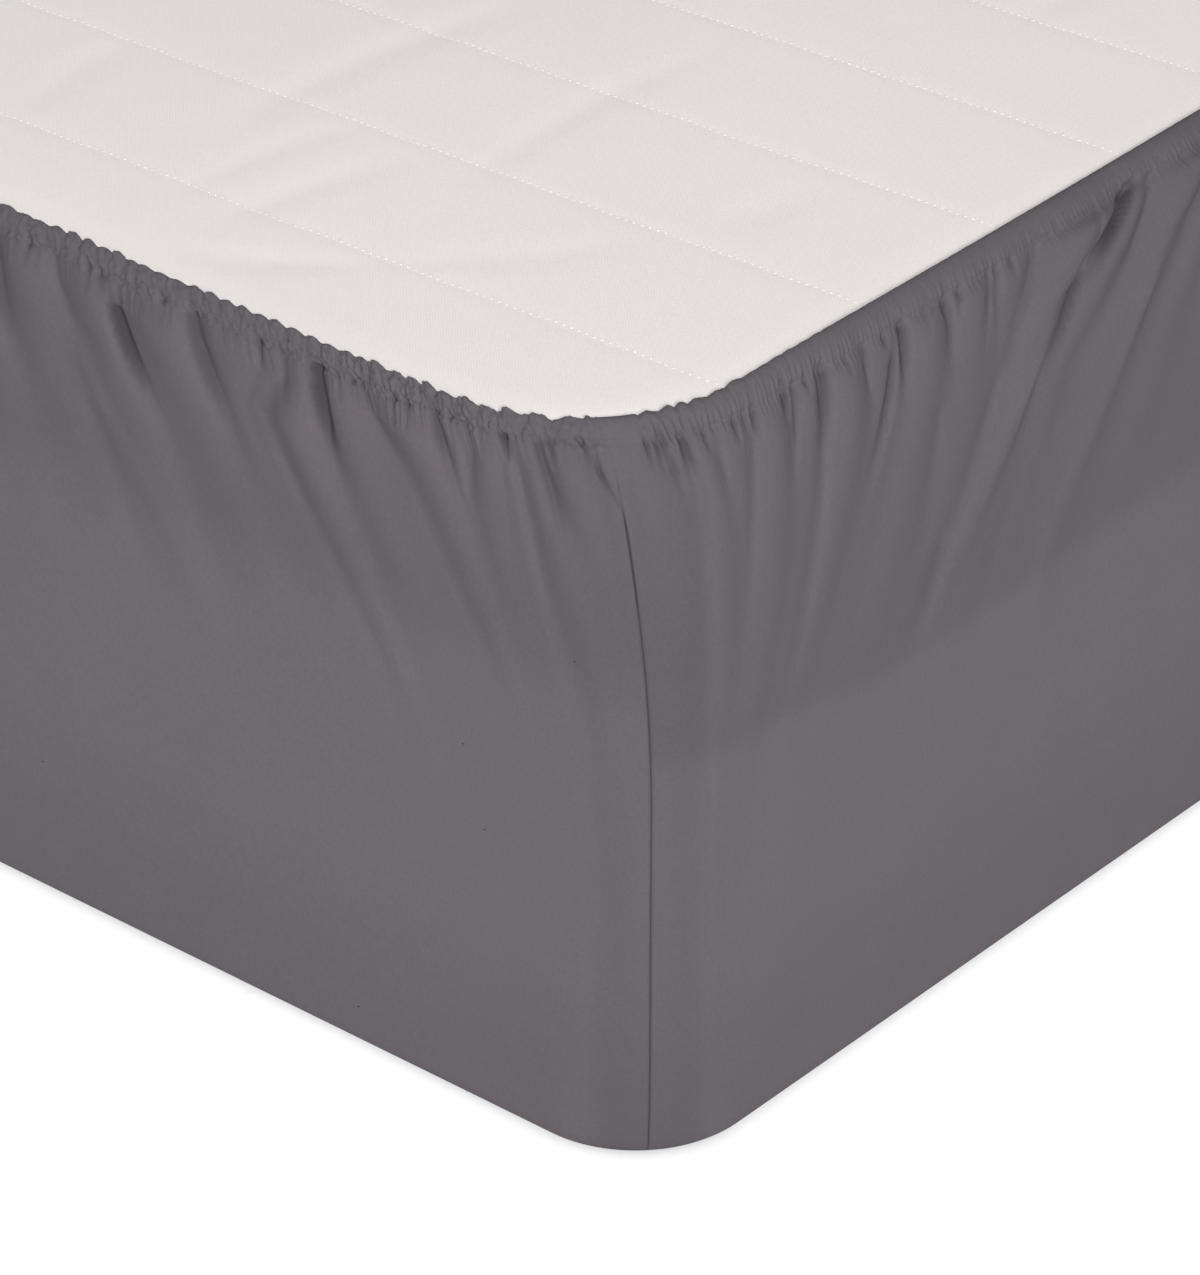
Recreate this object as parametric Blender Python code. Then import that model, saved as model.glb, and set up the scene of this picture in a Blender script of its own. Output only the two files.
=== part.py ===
"""Fitted sheet pulled over a plain mattress that lies upside down.

The sheet is one thin cloth shell: its panel lies on the floor, its four walls go up round the
mattress, and its gathered hem turns in over the mattress's upper edge, where folds hang from it.
Metres, +Z up, X across the mattress and Y along it. The origin is on the floor, under the middle.
"""
import math
import random
from collections import namedtuple

import bmesh
import bpy
from mathutils import Vector

# Driving sizes
SHEET_WIDTH = 0.904
SHEET_LENGTH = 1.904
CLOTH = 0.002
MATTRESS_TOP = 0.2975
EDGE_RADIUS = 0.015
CORNER_RADIUS = 0.038
HEM_CORNER_RADIUS = 0.068
HEM_BAND = 0.012
HEM_LIFT = 0.0008
FLOOR_RIM = 0.012

# Mattress inside the sheet, and its rows of stitching
MATTRESS_GAP = 0.0014
MATTRESS_EXTRA_RADIUS = 0.003
TOP_EDGE_RUN = 0.010
TOP_EDGE_DROP = 0.0004
FLOOR_GAP = 0.0003
STITCH_PITCH = 0.085
FIRST_STITCH = 0.078
CHANNEL_WIDTH = 0.009
CHANNEL_DEPTH = 0.0012
CUTTER_RISE = 0.0004
ARC_STEPS = 4
END_STEPS = 6
LONG_STEPS = 10

# How far the folds lean towards their corner on the way down, and where on the hem most
LEAN = 0.075
LEAN_PLACE = 0.25
LEAN_DEPTH = 0.16
LEAN_POWER = 1.5
SIDE_BLEND = 0.14
BEND_STEPS = 24

# Heights of the rings: down the cloth from the hem first, then above the floor
FOLD_DEPTHS = (0.0, HEM_BAND, HEM_BAND + 0.0025, 0.023, 0.040, 0.062)
LOWER_DEPTHS = (0.090, 0.120, 0.152)
WALL_HEIGHTS = (0.085, EDGE_RADIUS)
EDGE_TURNS = (45.0, 90.0)

# The hem along one kind of side: how far in it lies, how high, and how the cloth bends over to it
Side = namedtuple("Side", "half along_x hem_inset hem_drift hem_height hem_tilt bend_start")
END_SIDE = Side(SHEET_WIDTH / 2, True, hem_inset=0.007, hem_drift=0.014, hem_height=0.2985,
                hem_tilt=30.0, bend_start=0.225)
LONG_SIDE = Side(SHEET_LENGTH / 2, False, hem_inset=0.030, hem_drift=0.026, hem_height=0.3005,
                 hem_tilt=8.0, bend_start=0.165)

# A fold: its crest's distance from the corner seam along the hem, its length and how far it stands out
Fold = namedtuple("Fold", "place length lift")

FRONT_END_FOLDS = (
    Fold(place=0.012, length=0.090, lift=0.0035),
    Fold(place=0.027, length=0.140, lift=0.0055),
    Fold(place=0.048, length=0.065, lift=0.0030),
    Fold(place=0.080, length=0.130, lift=0.0065),
    Fold(place=0.110, length=0.080, lift=0.0045),
    Fold(place=0.152, length=0.175, lift=0.0085),
    Fold(place=0.204, length=0.135, lift=0.0075),
    Fold(place=0.243, length=0.185, lift=0.0085),
    Fold(place=0.276, length=0.080, lift=0.0055),
    Fold(place=0.320, length=0.140, lift=0.0070),
    Fold(place=0.366, length=0.110, lift=0.0055),
)
FRONT_LONG_FOLDS = (
    Fold(place=0.013, length=0.080, lift=0.0030),
    Fold(place=0.034, length=0.145, lift=0.0050),
    Fold(place=0.072, length=0.150, lift=0.0060),
    Fold(place=0.110, length=0.120, lift=0.0070),
    Fold(place=0.138, length=0.070, lift=0.0045),
    Fold(place=0.166, length=0.155, lift=0.0070),
    Fold(place=0.205, length=0.065, lift=0.0045),
    Fold(place=0.252, length=0.190, lift=0.0100),
    Fold(place=0.288, length=0.060, lift=0.0055),
    Fold(place=0.322, length=0.185, lift=0.0095),
)

# Folds elsewhere come in uneven steps that widen away from the corners
FAR_FIRST = 0.013
FAR_STEP = 0.024
FRONT_STEP = 0.055
STEP_GROWTH = 0.0095
WIDEST_STEP = 0.125
STEP_UNEVENNESS = 0.16
FAR_FOLD_LIFT = (0.0040, 0.0085)
FAR_FOLD_LENGTH = (0.080, 0.185)
MIDDLE_ROOM = 0.035
SEED = 14

# A fold's shape: its lift in the hem band, on its flanks and just below the band, and where it fades
BAND_SHARE = 0.25
FLANK_SHARE = 0.42
GATHER_SHARE = 0.35
GATHER_DEPTH = 0.022
FADE_START = 0.15

# A column of cloth points: its side, its place along the hem, and the fold it belongs to
Column = namedtuple("Column", "side sign_x sign_y place lift length")


def smooth(value):
    """Ease from 0 to 1."""
    value = min(max(value, 0.0), 1.0)
    return value * value * (3.0 - 2.0 * value)


def mix(first, second, share):
    return first + (second - first) * share


def other_side(side):
    return LONG_SIDE if side.along_x else END_SIDE


def run_length(side, inset, radius):
    """Length of outline from the middle of a corner to the middle of the side."""
    return radius * math.pi / 4 + side.half - inset - radius


def hem_run(side):
    """Length of the hem from a corner seam to the middle of the side."""
    return run_length(side, other_side(side).hem_inset, HEM_CORNER_RADIUS)


def bend(side, place, depth):
    """Inset from the wall and height, at a depth down the cloth from the hem."""
    away = smooth(place / side.half)
    inset = side.hem_inset + side.hem_drift * away
    tilt = math.radians(side.hem_tilt)
    reach = inset / (1.0 - math.sin(tilt))
    rise = (side.hem_height - side.bend_start) / math.cos(tilt)
    travelled = 0.0
    last = (inset, side.hem_height)
    for step in range(1, BEND_STEPS + 1):
        angle = mix(tilt, math.pi / 2, step / BEND_STEPS)
        point = (reach * (1.0 - math.sin(angle)), side.bend_start + rise * math.cos(angle))
        length = math.dist(last, point)
        if travelled + length >= depth:
            share = (depth - travelled) / length
            return mix(last[0], point[0], share), mix(last[1], point[1], share)
        travelled += length
        last = point
    return 0.0, side.bend_start - (depth - travelled)


def corner_point(radius, distance):
    """Distance along a side and inset from it, on a rounded corner and the straight after it."""
    arc = radius * math.pi / 4
    if distance >= arc:
        return radius + distance - arc, 0.0
    angle = math.pi / 4 - distance / radius
    return radius - radius * math.sin(angle), radius - radius * math.cos(angle)


def place_point(column, own_inset, other_inset, height, radius, distance):
    """World point of a column on the outline at a height."""
    along, turned_in = corner_point(radius, distance)
    along += other_inset
    turned_in += own_inset
    in_x, in_y = (along, turned_in) if column.side.along_x else (turned_in, along)
    x = column.sign_x * (SHEET_WIDTH / 2 - in_x)
    y = column.sign_y * (SHEET_LENGTH / 2 - in_y)
    return x, y, height


def leaned_distance(column, depth, inset, radius):
    """Distance from the corner seam, after the lean, on the outline at a depth."""
    side = column.side
    run = hem_run(side)
    near = column.place / LEAN_PLACE
    fade = max(1.0 - (column.place / run) ** 2, 0.0)
    shift = LEAN * near ** LEAN_POWER * math.exp(LEAN_POWER * (1.0 - near)) * fade
    share = (column.place - shift * smooth(depth / LEAN_DEPTH)) / run
    return share * run_length(side, inset, radius)


def upper_point(column, depth, extra_radius=0.0):
    """Point of the taut cloth at a depth down from the hem."""
    radius = mix(HEM_CORNER_RADIUS, CORNER_RADIUS, smooth(depth / LEAN_DEPTH)) + extra_radius
    other_inset, other_height = bend(other_side(column.side), 0.0, depth)
    own_inset, own_height = bend(column.side, column.place, depth)
    corner_share = 0.5 * (1.0 - smooth(column.place / SIDE_BLEND))
    height = mix(own_height, other_height, corner_share)
    distance = leaned_distance(column, depth, other_inset, radius)
    return place_point(column, own_inset, other_inset, height, radius, distance)


def lower_point(column, height, inset, extra_radius=0.0):
    """Point of the plain wall, or of the turn under it, at a height above the floor."""
    radius = CORNER_RADIUS + extra_radius - inset
    distance = leaned_distance(column, LEAN_DEPTH, inset, radius)
    return place_point(column, inset, inset, height, radius, distance)


def edge_turn(angle):
    """Height and inset on the rounded edge at the floor."""
    angle = math.radians(angle)
    return EDGE_RADIUS * (1.0 - math.sin(angle)), EDGE_RADIUS * (1.0 - math.cos(angle))


def uneven_folds(side, place, step, rng):
    """Folds from a place on the hem as far as the middle of the side."""
    folds = []
    while place < hem_run(side) - MIDDLE_ROOM:
        folds.append(Fold(place, rng.uniform(*FAR_FOLD_LENGTH), rng.uniform(*FAR_FOLD_LIFT)))
        place += step * rng.uniform(1.0 - STEP_UNEVENNESS, 1.0 + STEP_UNEVENNESS)
        step = min(step + STEP_GROWTH, WIDEST_STEP)
    return folds


def far_folds(side, rng):
    """Folds of a half side away from the front corner."""
    return uneven_folds(side, FAR_FIRST, FAR_STEP, rng)


def front_folds(folds, side, rng):
    """The front corner's own folds, then uneven ones past the last of them."""
    return list(folds) + uneven_folds(side, folds[-1].place + FRONT_STEP, FRONT_STEP, rng)


def half_side_columns(side, signs, folds):
    """Four columns for each fold, from the corner seam to the middle of the side."""
    columns = [Column(side, *signs, 0.0, 0.0, 0.0)]
    trough = 0.0
    for index, fold in enumerate(folds):
        last = index == len(folds) - 1
        next_trough = hem_run(side) if last else (fold.place + folds[index + 1].place) / 2
        flank = FLANK_SHARE * fold.lift
        columns += [
            Column(side, *signs, (trough + fold.place) / 2, flank, fold.length),
            Column(side, *signs, fold.place, fold.lift, fold.length),
            Column(side, *signs, (fold.place + next_trough) / 2, flank, fold.length),
            Column(side, *signs, next_trough, 0.0, 0.0),
        ]
        trough = next_trough
    return columns


def round_the_sheet(halves):
    """Columns of all eight half sides in one loop, anticlockwise from above."""
    loop = []
    for index, columns in enumerate(halves):
        loop += columns[:-1] if index % 2 == 0 else columns[:0:-1]
    return loop


def sheet_columns():
    rng = random.Random(SEED)
    right_front, right_back = (1, -1), (1, 1)
    left_back, left_front = (-1, 1), (-1, -1)
    plan = (
        (LONG_SIDE, right_front, front_folds(FRONT_LONG_FOLDS, LONG_SIDE, rng)),
        (LONG_SIDE, right_back, far_folds(LONG_SIDE, rng)),
        (END_SIDE, right_back, far_folds(END_SIDE, rng)),
        (END_SIDE, left_back, far_folds(END_SIDE, rng)),
        (LONG_SIDE, left_back, far_folds(LONG_SIDE, rng)),
        (LONG_SIDE, left_front, far_folds(LONG_SIDE, rng)),
        (END_SIDE, left_front, far_folds(END_SIDE, rng)),
        (END_SIDE, right_front, front_folds(FRONT_END_FOLDS, END_SIDE, rng)),
    )
    return round_the_sheet([half_side_columns(*row) for row in plan])


def fold_lift(column, depth):
    """How far a fold stands out at a depth: little in the band, most below it, nothing at its foot."""
    if depth <= HEM_BAND:
        return HEM_LIFT + BAND_SHARE * column.lift * depth / HEM_BAND
    if column.length <= 0.0:
        return 0.0
    gather = mix(GATHER_SHARE, 1.0, smooth((depth - HEM_BAND) / GATHER_DEPTH))
    fade = (depth / column.length - FADE_START) / (1.0 - FADE_START)
    return column.lift * gather * (1.0 - smooth(fade))


def join_rings(mesh, upper, lower):
    """Quads between two rings of the same count."""
    count = len(upper)
    for index in range(count):
        after = (index + 1) % count
        mesh.faces.new((upper[index], lower[index], lower[after], upper[after]))


def join_to_half(mesh, upper, lower):
    """Triangles from a ring to one with half as many points."""
    count = len(upper)
    for index in range(0, count, 2):
        left, right = lower[index // 2], lower[(index // 2 + 1) % len(lower)]
        middle, last = upper[index + 1], upper[(index + 2) % count]
        mesh.faces.new((upper[index], left, middle))
        mesh.faces.new((left, right, middle))
        mesh.faces.new((middle, right, last))


def add_ring(mesh, points):
    return [mesh.verts.new(point) for point in points]


def displace(mesh, rings_lifts):
    """Move ring points along their outward normals."""
    mesh.normal_update()
    moves = [(vert, vert.normal * lift) for ring, lifts in rings_lifts for vert, lift in zip(ring, lifts)]
    for vert, move in moves:
        vert.co += move


def make_material(name, colour, roughness):
    material = bpy.data.materials.new(name)
    material.use_nodes = True
    shader = material.node_tree.nodes["Principled BSDF"]
    shader.inputs["Base Color"].default_value = (*colour, 1.0)
    shader.inputs["Roughness"].default_value = roughness
    shader.inputs["Metallic"].default_value = 0.0
    return material


def make_object(name, mesh, material):
    data = bpy.data.meshes.new(name)
    mesh.to_mesh(data)
    mesh.free()
    data.shade_smooth()
    data.materials.append(material)
    thing = bpy.data.objects.new(name, data)
    bpy.context.scene.collection.objects.link(thing)
    return thing


def build_sheet(material):
    """The cloth's outer face in rings from the hem down, then its thickness."""
    columns = sheet_columns()
    sparse = columns[::2]
    mesh = bmesh.new()
    fold_rings = [add_ring(mesh, [upper_point(c, depth) for c in columns]) for depth in FOLD_DEPTHS]
    lower_rings = [add_ring(mesh, [upper_point(c, depth) for c in sparse]) for depth in LOWER_DEPTHS]
    wall_rings = [add_ring(mesh, [lower_point(c, height, 0.0) for c in sparse]) for height in WALL_HEIGHTS]
    turn_rings = [add_ring(mesh, [lower_point(c, *edge_turn(turn)) for c in sparse]) for turn in EDGE_TURNS]
    rim = add_ring(mesh, [lower_point(c, 0.0, EDGE_RADIUS + FLOOR_RIM) for c in sparse])

    for upper, lower in zip(fold_rings, fold_rings[1:]):
        join_rings(mesh, upper, lower)
    join_to_half(mesh, fold_rings[-1], lower_rings[0])
    sparse_rings = lower_rings + wall_rings + turn_rings + [rim]
    for upper, lower in zip(sparse_rings, sparse_rings[1:]):
        join_rings(mesh, upper, lower)
    mesh.faces.new(list(reversed(rim)))

    lifts = [(ring, [fold_lift(c, depth) for c in columns]) for ring, depth in zip(fold_rings, FOLD_DEPTHS)]
    lifts += [(ring, [fold_lift(c, depth) for c in sparse]) for ring, depth in zip(lower_rings, LOWER_DEPTHS)]
    displace(mesh, lifts)

    sheet = make_object("fitted_sheet", mesh, material)
    thickness = sheet.modifiers.new("cloth thickness", "SOLIDIFY")
    thickness.thickness = CLOTH
    thickness.offset = -1.0
    thickness.use_even_offset = True
    return sheet


def mattress_columns():
    """Plain columns, closer together on the corners."""
    halves = []
    order = ((LONG_SIDE, 1, -1), (LONG_SIDE, 1, 1), (END_SIDE, 1, 1), (END_SIDE, -1, 1),
             (LONG_SIDE, -1, 1), (LONG_SIDE, -1, -1), (END_SIDE, -1, -1), (END_SIDE, 1, -1))
    arc = HEM_CORNER_RADIUS * math.pi / 4
    for side, sign_x, sign_y in order:
        steps = END_STEPS if side.along_x else LONG_STEPS
        places = [arc * step / ARC_STEPS for step in range(ARC_STEPS)]
        places += [mix(arc, hem_run(side), step / steps) for step in range(steps + 1)]
        halves.append([Column(side, sign_x, sign_y, place, 0.0, 0.0) for place in places])
    return round_the_sheet(halves)


def stitch_cutter():
    """Shallow three-sided bars across the mattress's upper face, one for each row of stitching."""
    mesh = bmesh.new()
    half = CHANNEL_WIDTH / 2
    rise = MATTRESS_TOP + CUTTER_RISE
    count = int((SHEET_LENGTH - 2 * FIRST_STITCH) / STITCH_PITCH) + 1
    for index in range(count):
        middle = -SHEET_LENGTH / 2 + FIRST_STITCH + index * STITCH_PITCH
        profile = ((middle - half, rise), (middle, MATTRESS_TOP - CHANNEL_DEPTH), (middle + half, rise))
        near = [mesh.verts.new((-SHEET_WIDTH / 2, y, z)) for y, z in profile]
        far = [mesh.verts.new((SHEET_WIDTH / 2, y, z)) for y, z in profile]
        mesh.faces.new(near)
        mesh.faces.new(list(reversed(far)))
        for first in range(3):
            second = (first + 1) % 3
            mesh.faces.new((near[second], near[first], far[first], far[second]))
    bmesh.ops.recalc_face_normals(mesh, faces=mesh.faces)
    return mesh


def top_edge_point(point):
    """Where the mattress's upper face begins, a little in from the sheet's hem."""
    share_x = 1.0 - TOP_EDGE_RUN / (SHEET_WIDTH / 2)
    share_y = 1.0 - TOP_EDGE_RUN / (SHEET_LENGTH / 2)
    return point.x * share_x, point.y * share_y, MATTRESS_TOP


def build_mattress(material):
    """The mattress fills the taut sheet with a small gap, and its stitched rows are cut in after."""
    columns = mattress_columns()
    extra = MATTRESS_EXTRA_RADIUS
    depths = (0.0,) + FOLD_DEPTHS[3:] + LOWER_DEPTHS
    mesh = bmesh.new()
    levels = [(height, 0.0) for height in WALL_HEIGHTS] + [edge_turn(turn) for turn in EDGE_TURNS]
    rings = [add_ring(mesh, [upper_point(c, depth, extra) for c in columns]) for depth in depths]
    rings += [add_ring(mesh, [lower_point(c, *level, extra) for c in columns]) for level in levels]
    for upper, lower in zip(rings, rings[1:]):
        join_rings(mesh, upper, lower)
    bottom = mesh.faces.new(list(reversed(rings[-1])))
    displace(mesh, [(ring, [-(CLOTH + MATTRESS_GAP)] * len(ring)) for ring in rings])
    for vert in bottom.verts:
        vert.co.z = CLOTH + FLOOR_GAP
    for vert in rings[0]:
        vert.co.z = min(vert.co.z, MATTRESS_TOP - TOP_EDGE_DROP)

    top_edge = add_ring(mesh, [top_edge_point(vert.co) for vert in rings[0]])
    join_rings(mesh, top_edge, rings[0])
    mesh.faces.new(top_edge)

    mattress = make_object("mattress", mesh, material)
    cutter = make_object("stitch_cutter", stitch_cutter(), material)
    cutter.hide_render = True
    cutter.display_type = "WIRE"
    rows = mattress.modifiers.new("stitched rows", "BOOLEAN")
    rows.operation = "DIFFERENCE"
    rows.object = cutter
    return mattress, cutter


def centre_on_origin(sheet, things):
    """Stand the sheet's own box, uneven folds included, squarely on the origin."""
    bpy.context.view_layer.update()
    shape = sheet.evaluated_get(bpy.context.evaluated_depsgraph_get())
    corners = [sheet.matrix_world @ Vector(corner) for corner in shape.bound_box]
    middle_x = (min(c.x for c in corners) + max(c.x for c in corners)) / 2
    middle_y = (min(c.y for c in corners) + max(c.y for c in corners)) / 2
    for thing in things:
        thing.location = (-middle_x, -middle_y, 0.0)


def clear_scene():
    for thing in list(bpy.data.objects):
        bpy.data.objects.remove(thing)


def main():
    clear_scene()
    grey_cloth = make_material("grey cloth", (0.144, 0.133, 0.144), 0.9)
    ticking = make_material("cream ticking", (0.78, 0.73, 0.72), 0.9)
    sheet = build_sheet(grey_cloth)
    mattress, cutter = build_mattress(ticking)
    centre_on_origin(sheet, (sheet, mattress, cutter))


main()
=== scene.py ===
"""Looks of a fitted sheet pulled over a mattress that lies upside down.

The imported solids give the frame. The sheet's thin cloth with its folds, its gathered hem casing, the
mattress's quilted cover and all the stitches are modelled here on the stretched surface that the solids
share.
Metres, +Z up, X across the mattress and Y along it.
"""
import math
import random
from collections import namedtuple

import bpy
import numpy as np
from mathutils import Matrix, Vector
from mathutils.noise import noise as noise_at


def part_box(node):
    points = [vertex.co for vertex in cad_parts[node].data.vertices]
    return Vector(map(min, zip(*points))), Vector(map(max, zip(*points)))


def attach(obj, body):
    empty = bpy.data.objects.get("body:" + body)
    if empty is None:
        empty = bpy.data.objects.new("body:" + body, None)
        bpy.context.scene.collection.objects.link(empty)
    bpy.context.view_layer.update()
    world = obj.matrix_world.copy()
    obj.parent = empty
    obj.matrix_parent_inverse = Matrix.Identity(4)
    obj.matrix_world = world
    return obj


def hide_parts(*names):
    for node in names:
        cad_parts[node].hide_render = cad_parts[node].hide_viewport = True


# The taut surface, in the sizes of the sheet's own solid
SHEET_WIDTH = 0.904
SHEET_LENGTH = 1.904
MATTRESS_TOP = 0.2975
EDGE_RADIUS = 0.015
CORNER_RADIUS = 0.038
HEM_CORNER_RADIUS = 0.068
FLOOR_RIM = 0.012
LEAN = 0.075
LEAN_PLACE = 0.25
LEAN_DEPTH = 0.16
LEAN_POWER = 1.5
SIDE_BLEND = 0.14
BEND_STEPS = 24

# The camera: the photograph's size, the corner's place in it, and the viewing direction
PHOTO_WIDTH = 1200
PHOTO_HEIGHT = 1275
CORNER_PIXEL = (649.9, 1179.4)
CORNER_INSET = 0.010
CAMERA_LENS = 150.5
CAMERA_SENSOR = 36.0
CAMERA_AZIMUTH = 40.27
CAMERA_ELEVATION = 29.68
CAMERA_DISTANCE = 2.0003

# A corner seam: how deep its line cuts at depths down the cloth, its half width and the pinch beside it
SEAM_GROOVES = ((0.0, 0.0003), (0.030, 0.0003), (0.037, 0.0011), (0.10, 0.0011), (0.16, 0.0010),
                (0.30, 0.0010))
SEAM_HALF_WIDTH = 0.0004
SEAM_PINCH = 0.0005
SEAM_PINCH_REACH = 0.005

# Columns round the sheet: their spacing in the corner's ruching, beside it, far from it and at a seam
CORNER_SPACING = 0.0005
NEAR_SPACING = 0.0009
FAR_SPACING = 0.0030
CORNER_REACH = 0.11
NEAR_REACH = 0.35
SPACING_BLEND = 0.05
SEAM_SPACING = 0.0001
SEAM_GROWTH = 0.16
COLUMN_GROUP = 8

# Rows below the hem, as first depth, last depth and count: with every column, then every second one,
# then every fourth one, and the plain wall and its rounded foot below them
GATHER_ROWS = (0.0175, 0.036, 12)
FOLD_ROWS = (0.0385, 0.0635, 10)
FOOT_ROWS = (0.067, 0.152, 22)
WALL_ROWS = 8
LOW_ROWS = 6
WALL_BREAK = 0.085
EDGE_TURNS = (18.0, 36.0, 54.0, 72.0, 90.0)
NORMAL_STEP = 0.001
FOOT_ROUNDING = 0.019
FOOT_HEIGHT = 0.050

# A side: half its length, whether it runs along X, how far in its hem lies at a corner and how much further
# at its middle, the hem's height and tilt in degrees, and the height where the wall starts to bend in
Side = namedtuple("Side", "half along_x hem_inset hem_drift hem_height hem_tilt bend_start")
END_SIDE = Side(SHEET_WIDTH / 2, True, hem_inset=0.007, hem_drift=0.014, hem_height=0.2985, hem_tilt=30.0,
                bend_start=0.225)
LONG_SIDE = Side(SHEET_LENGTH / 2, False, hem_inset=0.030, hem_drift=0.026, hem_height=0.3005, hem_tilt=8.0,
                 bend_start=0.165)

# The right, back, left and front walls, which run anticlockwise from above: the side that each is, its first
# corner's signs, its direction and the way in. Their eight halves are numbered in the same order
Wall = namedtuple("Wall", "side corner along inward")
WALLS = (
    Wall(LONG_SIDE, (1, -1), (0, 1), (-1, 0)),
    Wall(END_SIDE, (1, 1), (-1, 0), (0, -1)),
    Wall(LONG_SIDE, (-1, 1), (0, -1), (1, 0)),
    Wall(END_SIDE, (-1, -1), (1, 0), (0, 1)),
)
FRONT_WALL = 3


def table(kind, *rows, per=1):
    """Rows of numbers as named values; per is how many of their units make a metre."""
    return tuple(kind(*(value / per for value in row)) for row in rows)


# A fold: its crest's place at the hem, halfway down and at its foot, as distances from the corner seam,
# the depth where it starts, its length down the cloth, its lift and its flanks to each side
Fold = namedtuple("Fold", "hem middle foot start length lift corner_flank far_flank")

# The valleys between the folds beside the front corner: distances from its seam in millimetres, at each of
# the FOLD_DEPTHS, how proud the arched fold past the valley stands, the depth in metres that it reaches, and
# its skew: below 1 its crest is nearer the valley, above 1 further from it
FOLD_DEPTHS = (0.016, 0.034, 0.060, 0.098)
Valley = namedtuple("Valley", "first second third fourth proud reach skew")
FRONT_END_VALLEYS = table(
    Valley,
    (0, 0, 0, 0, 0.6, 0.12, 1.0),
    (6.2, 0.6, 0.4, 0.3, 1.15, 0.16, 1.0),
    (25.2, 23.8, 20.0, 14.5, 1.30, 0.18, 0.75),
    (35.0, 36.0, 38.0, 33.0, 0.8, 0.10, 0.9),
    (41.0, 44.0, 47.0, 49.0, 0.9, 0.09, 1.0),
    (54.0, 63.0, 64.0, 66.0, 0.9, 0.08, 1.0),
    (69.5, 67.5, 66.0, 68.0, 1.10, 0.14, 0.85),
    (104.0, 95.0, 92.0, 90.0, 0.95, 0.13, 1.35),
    (126.5, 132.5, 133.0, 140.0, 1.25, 0.20, 0.9),
    (144.5, 163.0, 160.0, 158.0, 0.7, 0.06, 1.0),
    (156.5, 172.0, 172.0, 170.0, 0.8, 0.09, 0.8),
    (190.0, 184.5, 185.0, 188.0, 1.10, 0.15, 0.8),
    (231.0, 226.5, 222.0, 229.0, 1.10, 0.20, 0.65),
    (264.0, 256.0, 260.0, 260.0, 0.9, 0.12, 1.0),
    (295.0, 293.0, 290.0, 292.0, 1.10, 0.15, 0.85),
    (328.0, 324.0, 320.0, 318.0, 0.9, 0.12, 0.9),
    (354.0, 351.0, 348.0, 346.0, 1.10, 0.16, 0.85),
    (388.0, 382.0, 379.0, 377.0, 0.0, 0.10, 1.0),
)
FRONT_LONG_VALLEYS = table(
    Valley,
    (0, 0, 0, 0, 0.5, 0.15, 1.0),
    (18.5, 27.0, 27.5, 31.0, 0.8, 0.05, 1.0),
    (27.0, 29.5, 29.0, 32.0, 1.10, 0.17, 0.8),
    (39.0, 45.0, 50.0, 52.0, 0.5, 0.08, 1.0),
    (60.5, 58.0, 53.0, 58.0, 0.85, 0.16, 1.0),
    (78.5, 81.5, 88.0, 92.0, 0.8, 0.06, 1.0),
    (84.5, 84.5, 90.0, 94.0, 0.9, 0.07, 1.1),
    (100.0, 101.0, 99.0, 102.0, 1.0, 0.17, 0.95),
    (125.5, 131.0, 133.0, 133.0, 0.8, 0.07, 1.0),
    (144.0, 141.0, 134.5, 135.0, 0.7, 0.09, 1.0),
    (151.0, 152.0, 147.0, 151.0, 0.9, 0.15, 0.9),
    (177.5, 180.0, 182.0, 189.0, 0.7, 0.12, 1.0),
    (206.0, 209.5, 211.0, 207.0, 0.8, 0.07, 1.0),
    (231.5, 219.0, 213.0, 209.0, 1.10, 0.20, 1.1),
    (292.0, 257.0, 245.0, 248.0, 1.0, 0.15, 1.0),
    (312.0, 296.0, 267.0, 264.0, 1.05, 0.18, 1.15),
    (361.0, 333.0, 315.0, 309.0, 1.0, 0.16, 1.0),
    (389.0, 359.0, 349.0, 344.0, 0.0, 0.10, 1.0),
)

# The two half walls that meet in the front corner, and their valleys
FRONT_VALLEYS = {0: FRONT_LONG_VALLEYS, 7: FRONT_END_VALLEYS}

# The long narrow ridges that catch the light beside the front corner, in millimetres
FRONT_END_RIDGES = table(
    Fold,
    (26, 19, 10, 24, 150, 3.2, 3.5, 5),
    (270, 248, 240, 30, 150, 2.2, 4, 6),
    per=1000,
)
FRONT_LONG_RIDGES = table(
    Fold,
    (262, 222.5, 205, 35, 185, 3.4, 4.5, 6),
    (335, 290, 290, 30, 190, 3.4, 4.5, 6),
    per=1000,
)

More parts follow.
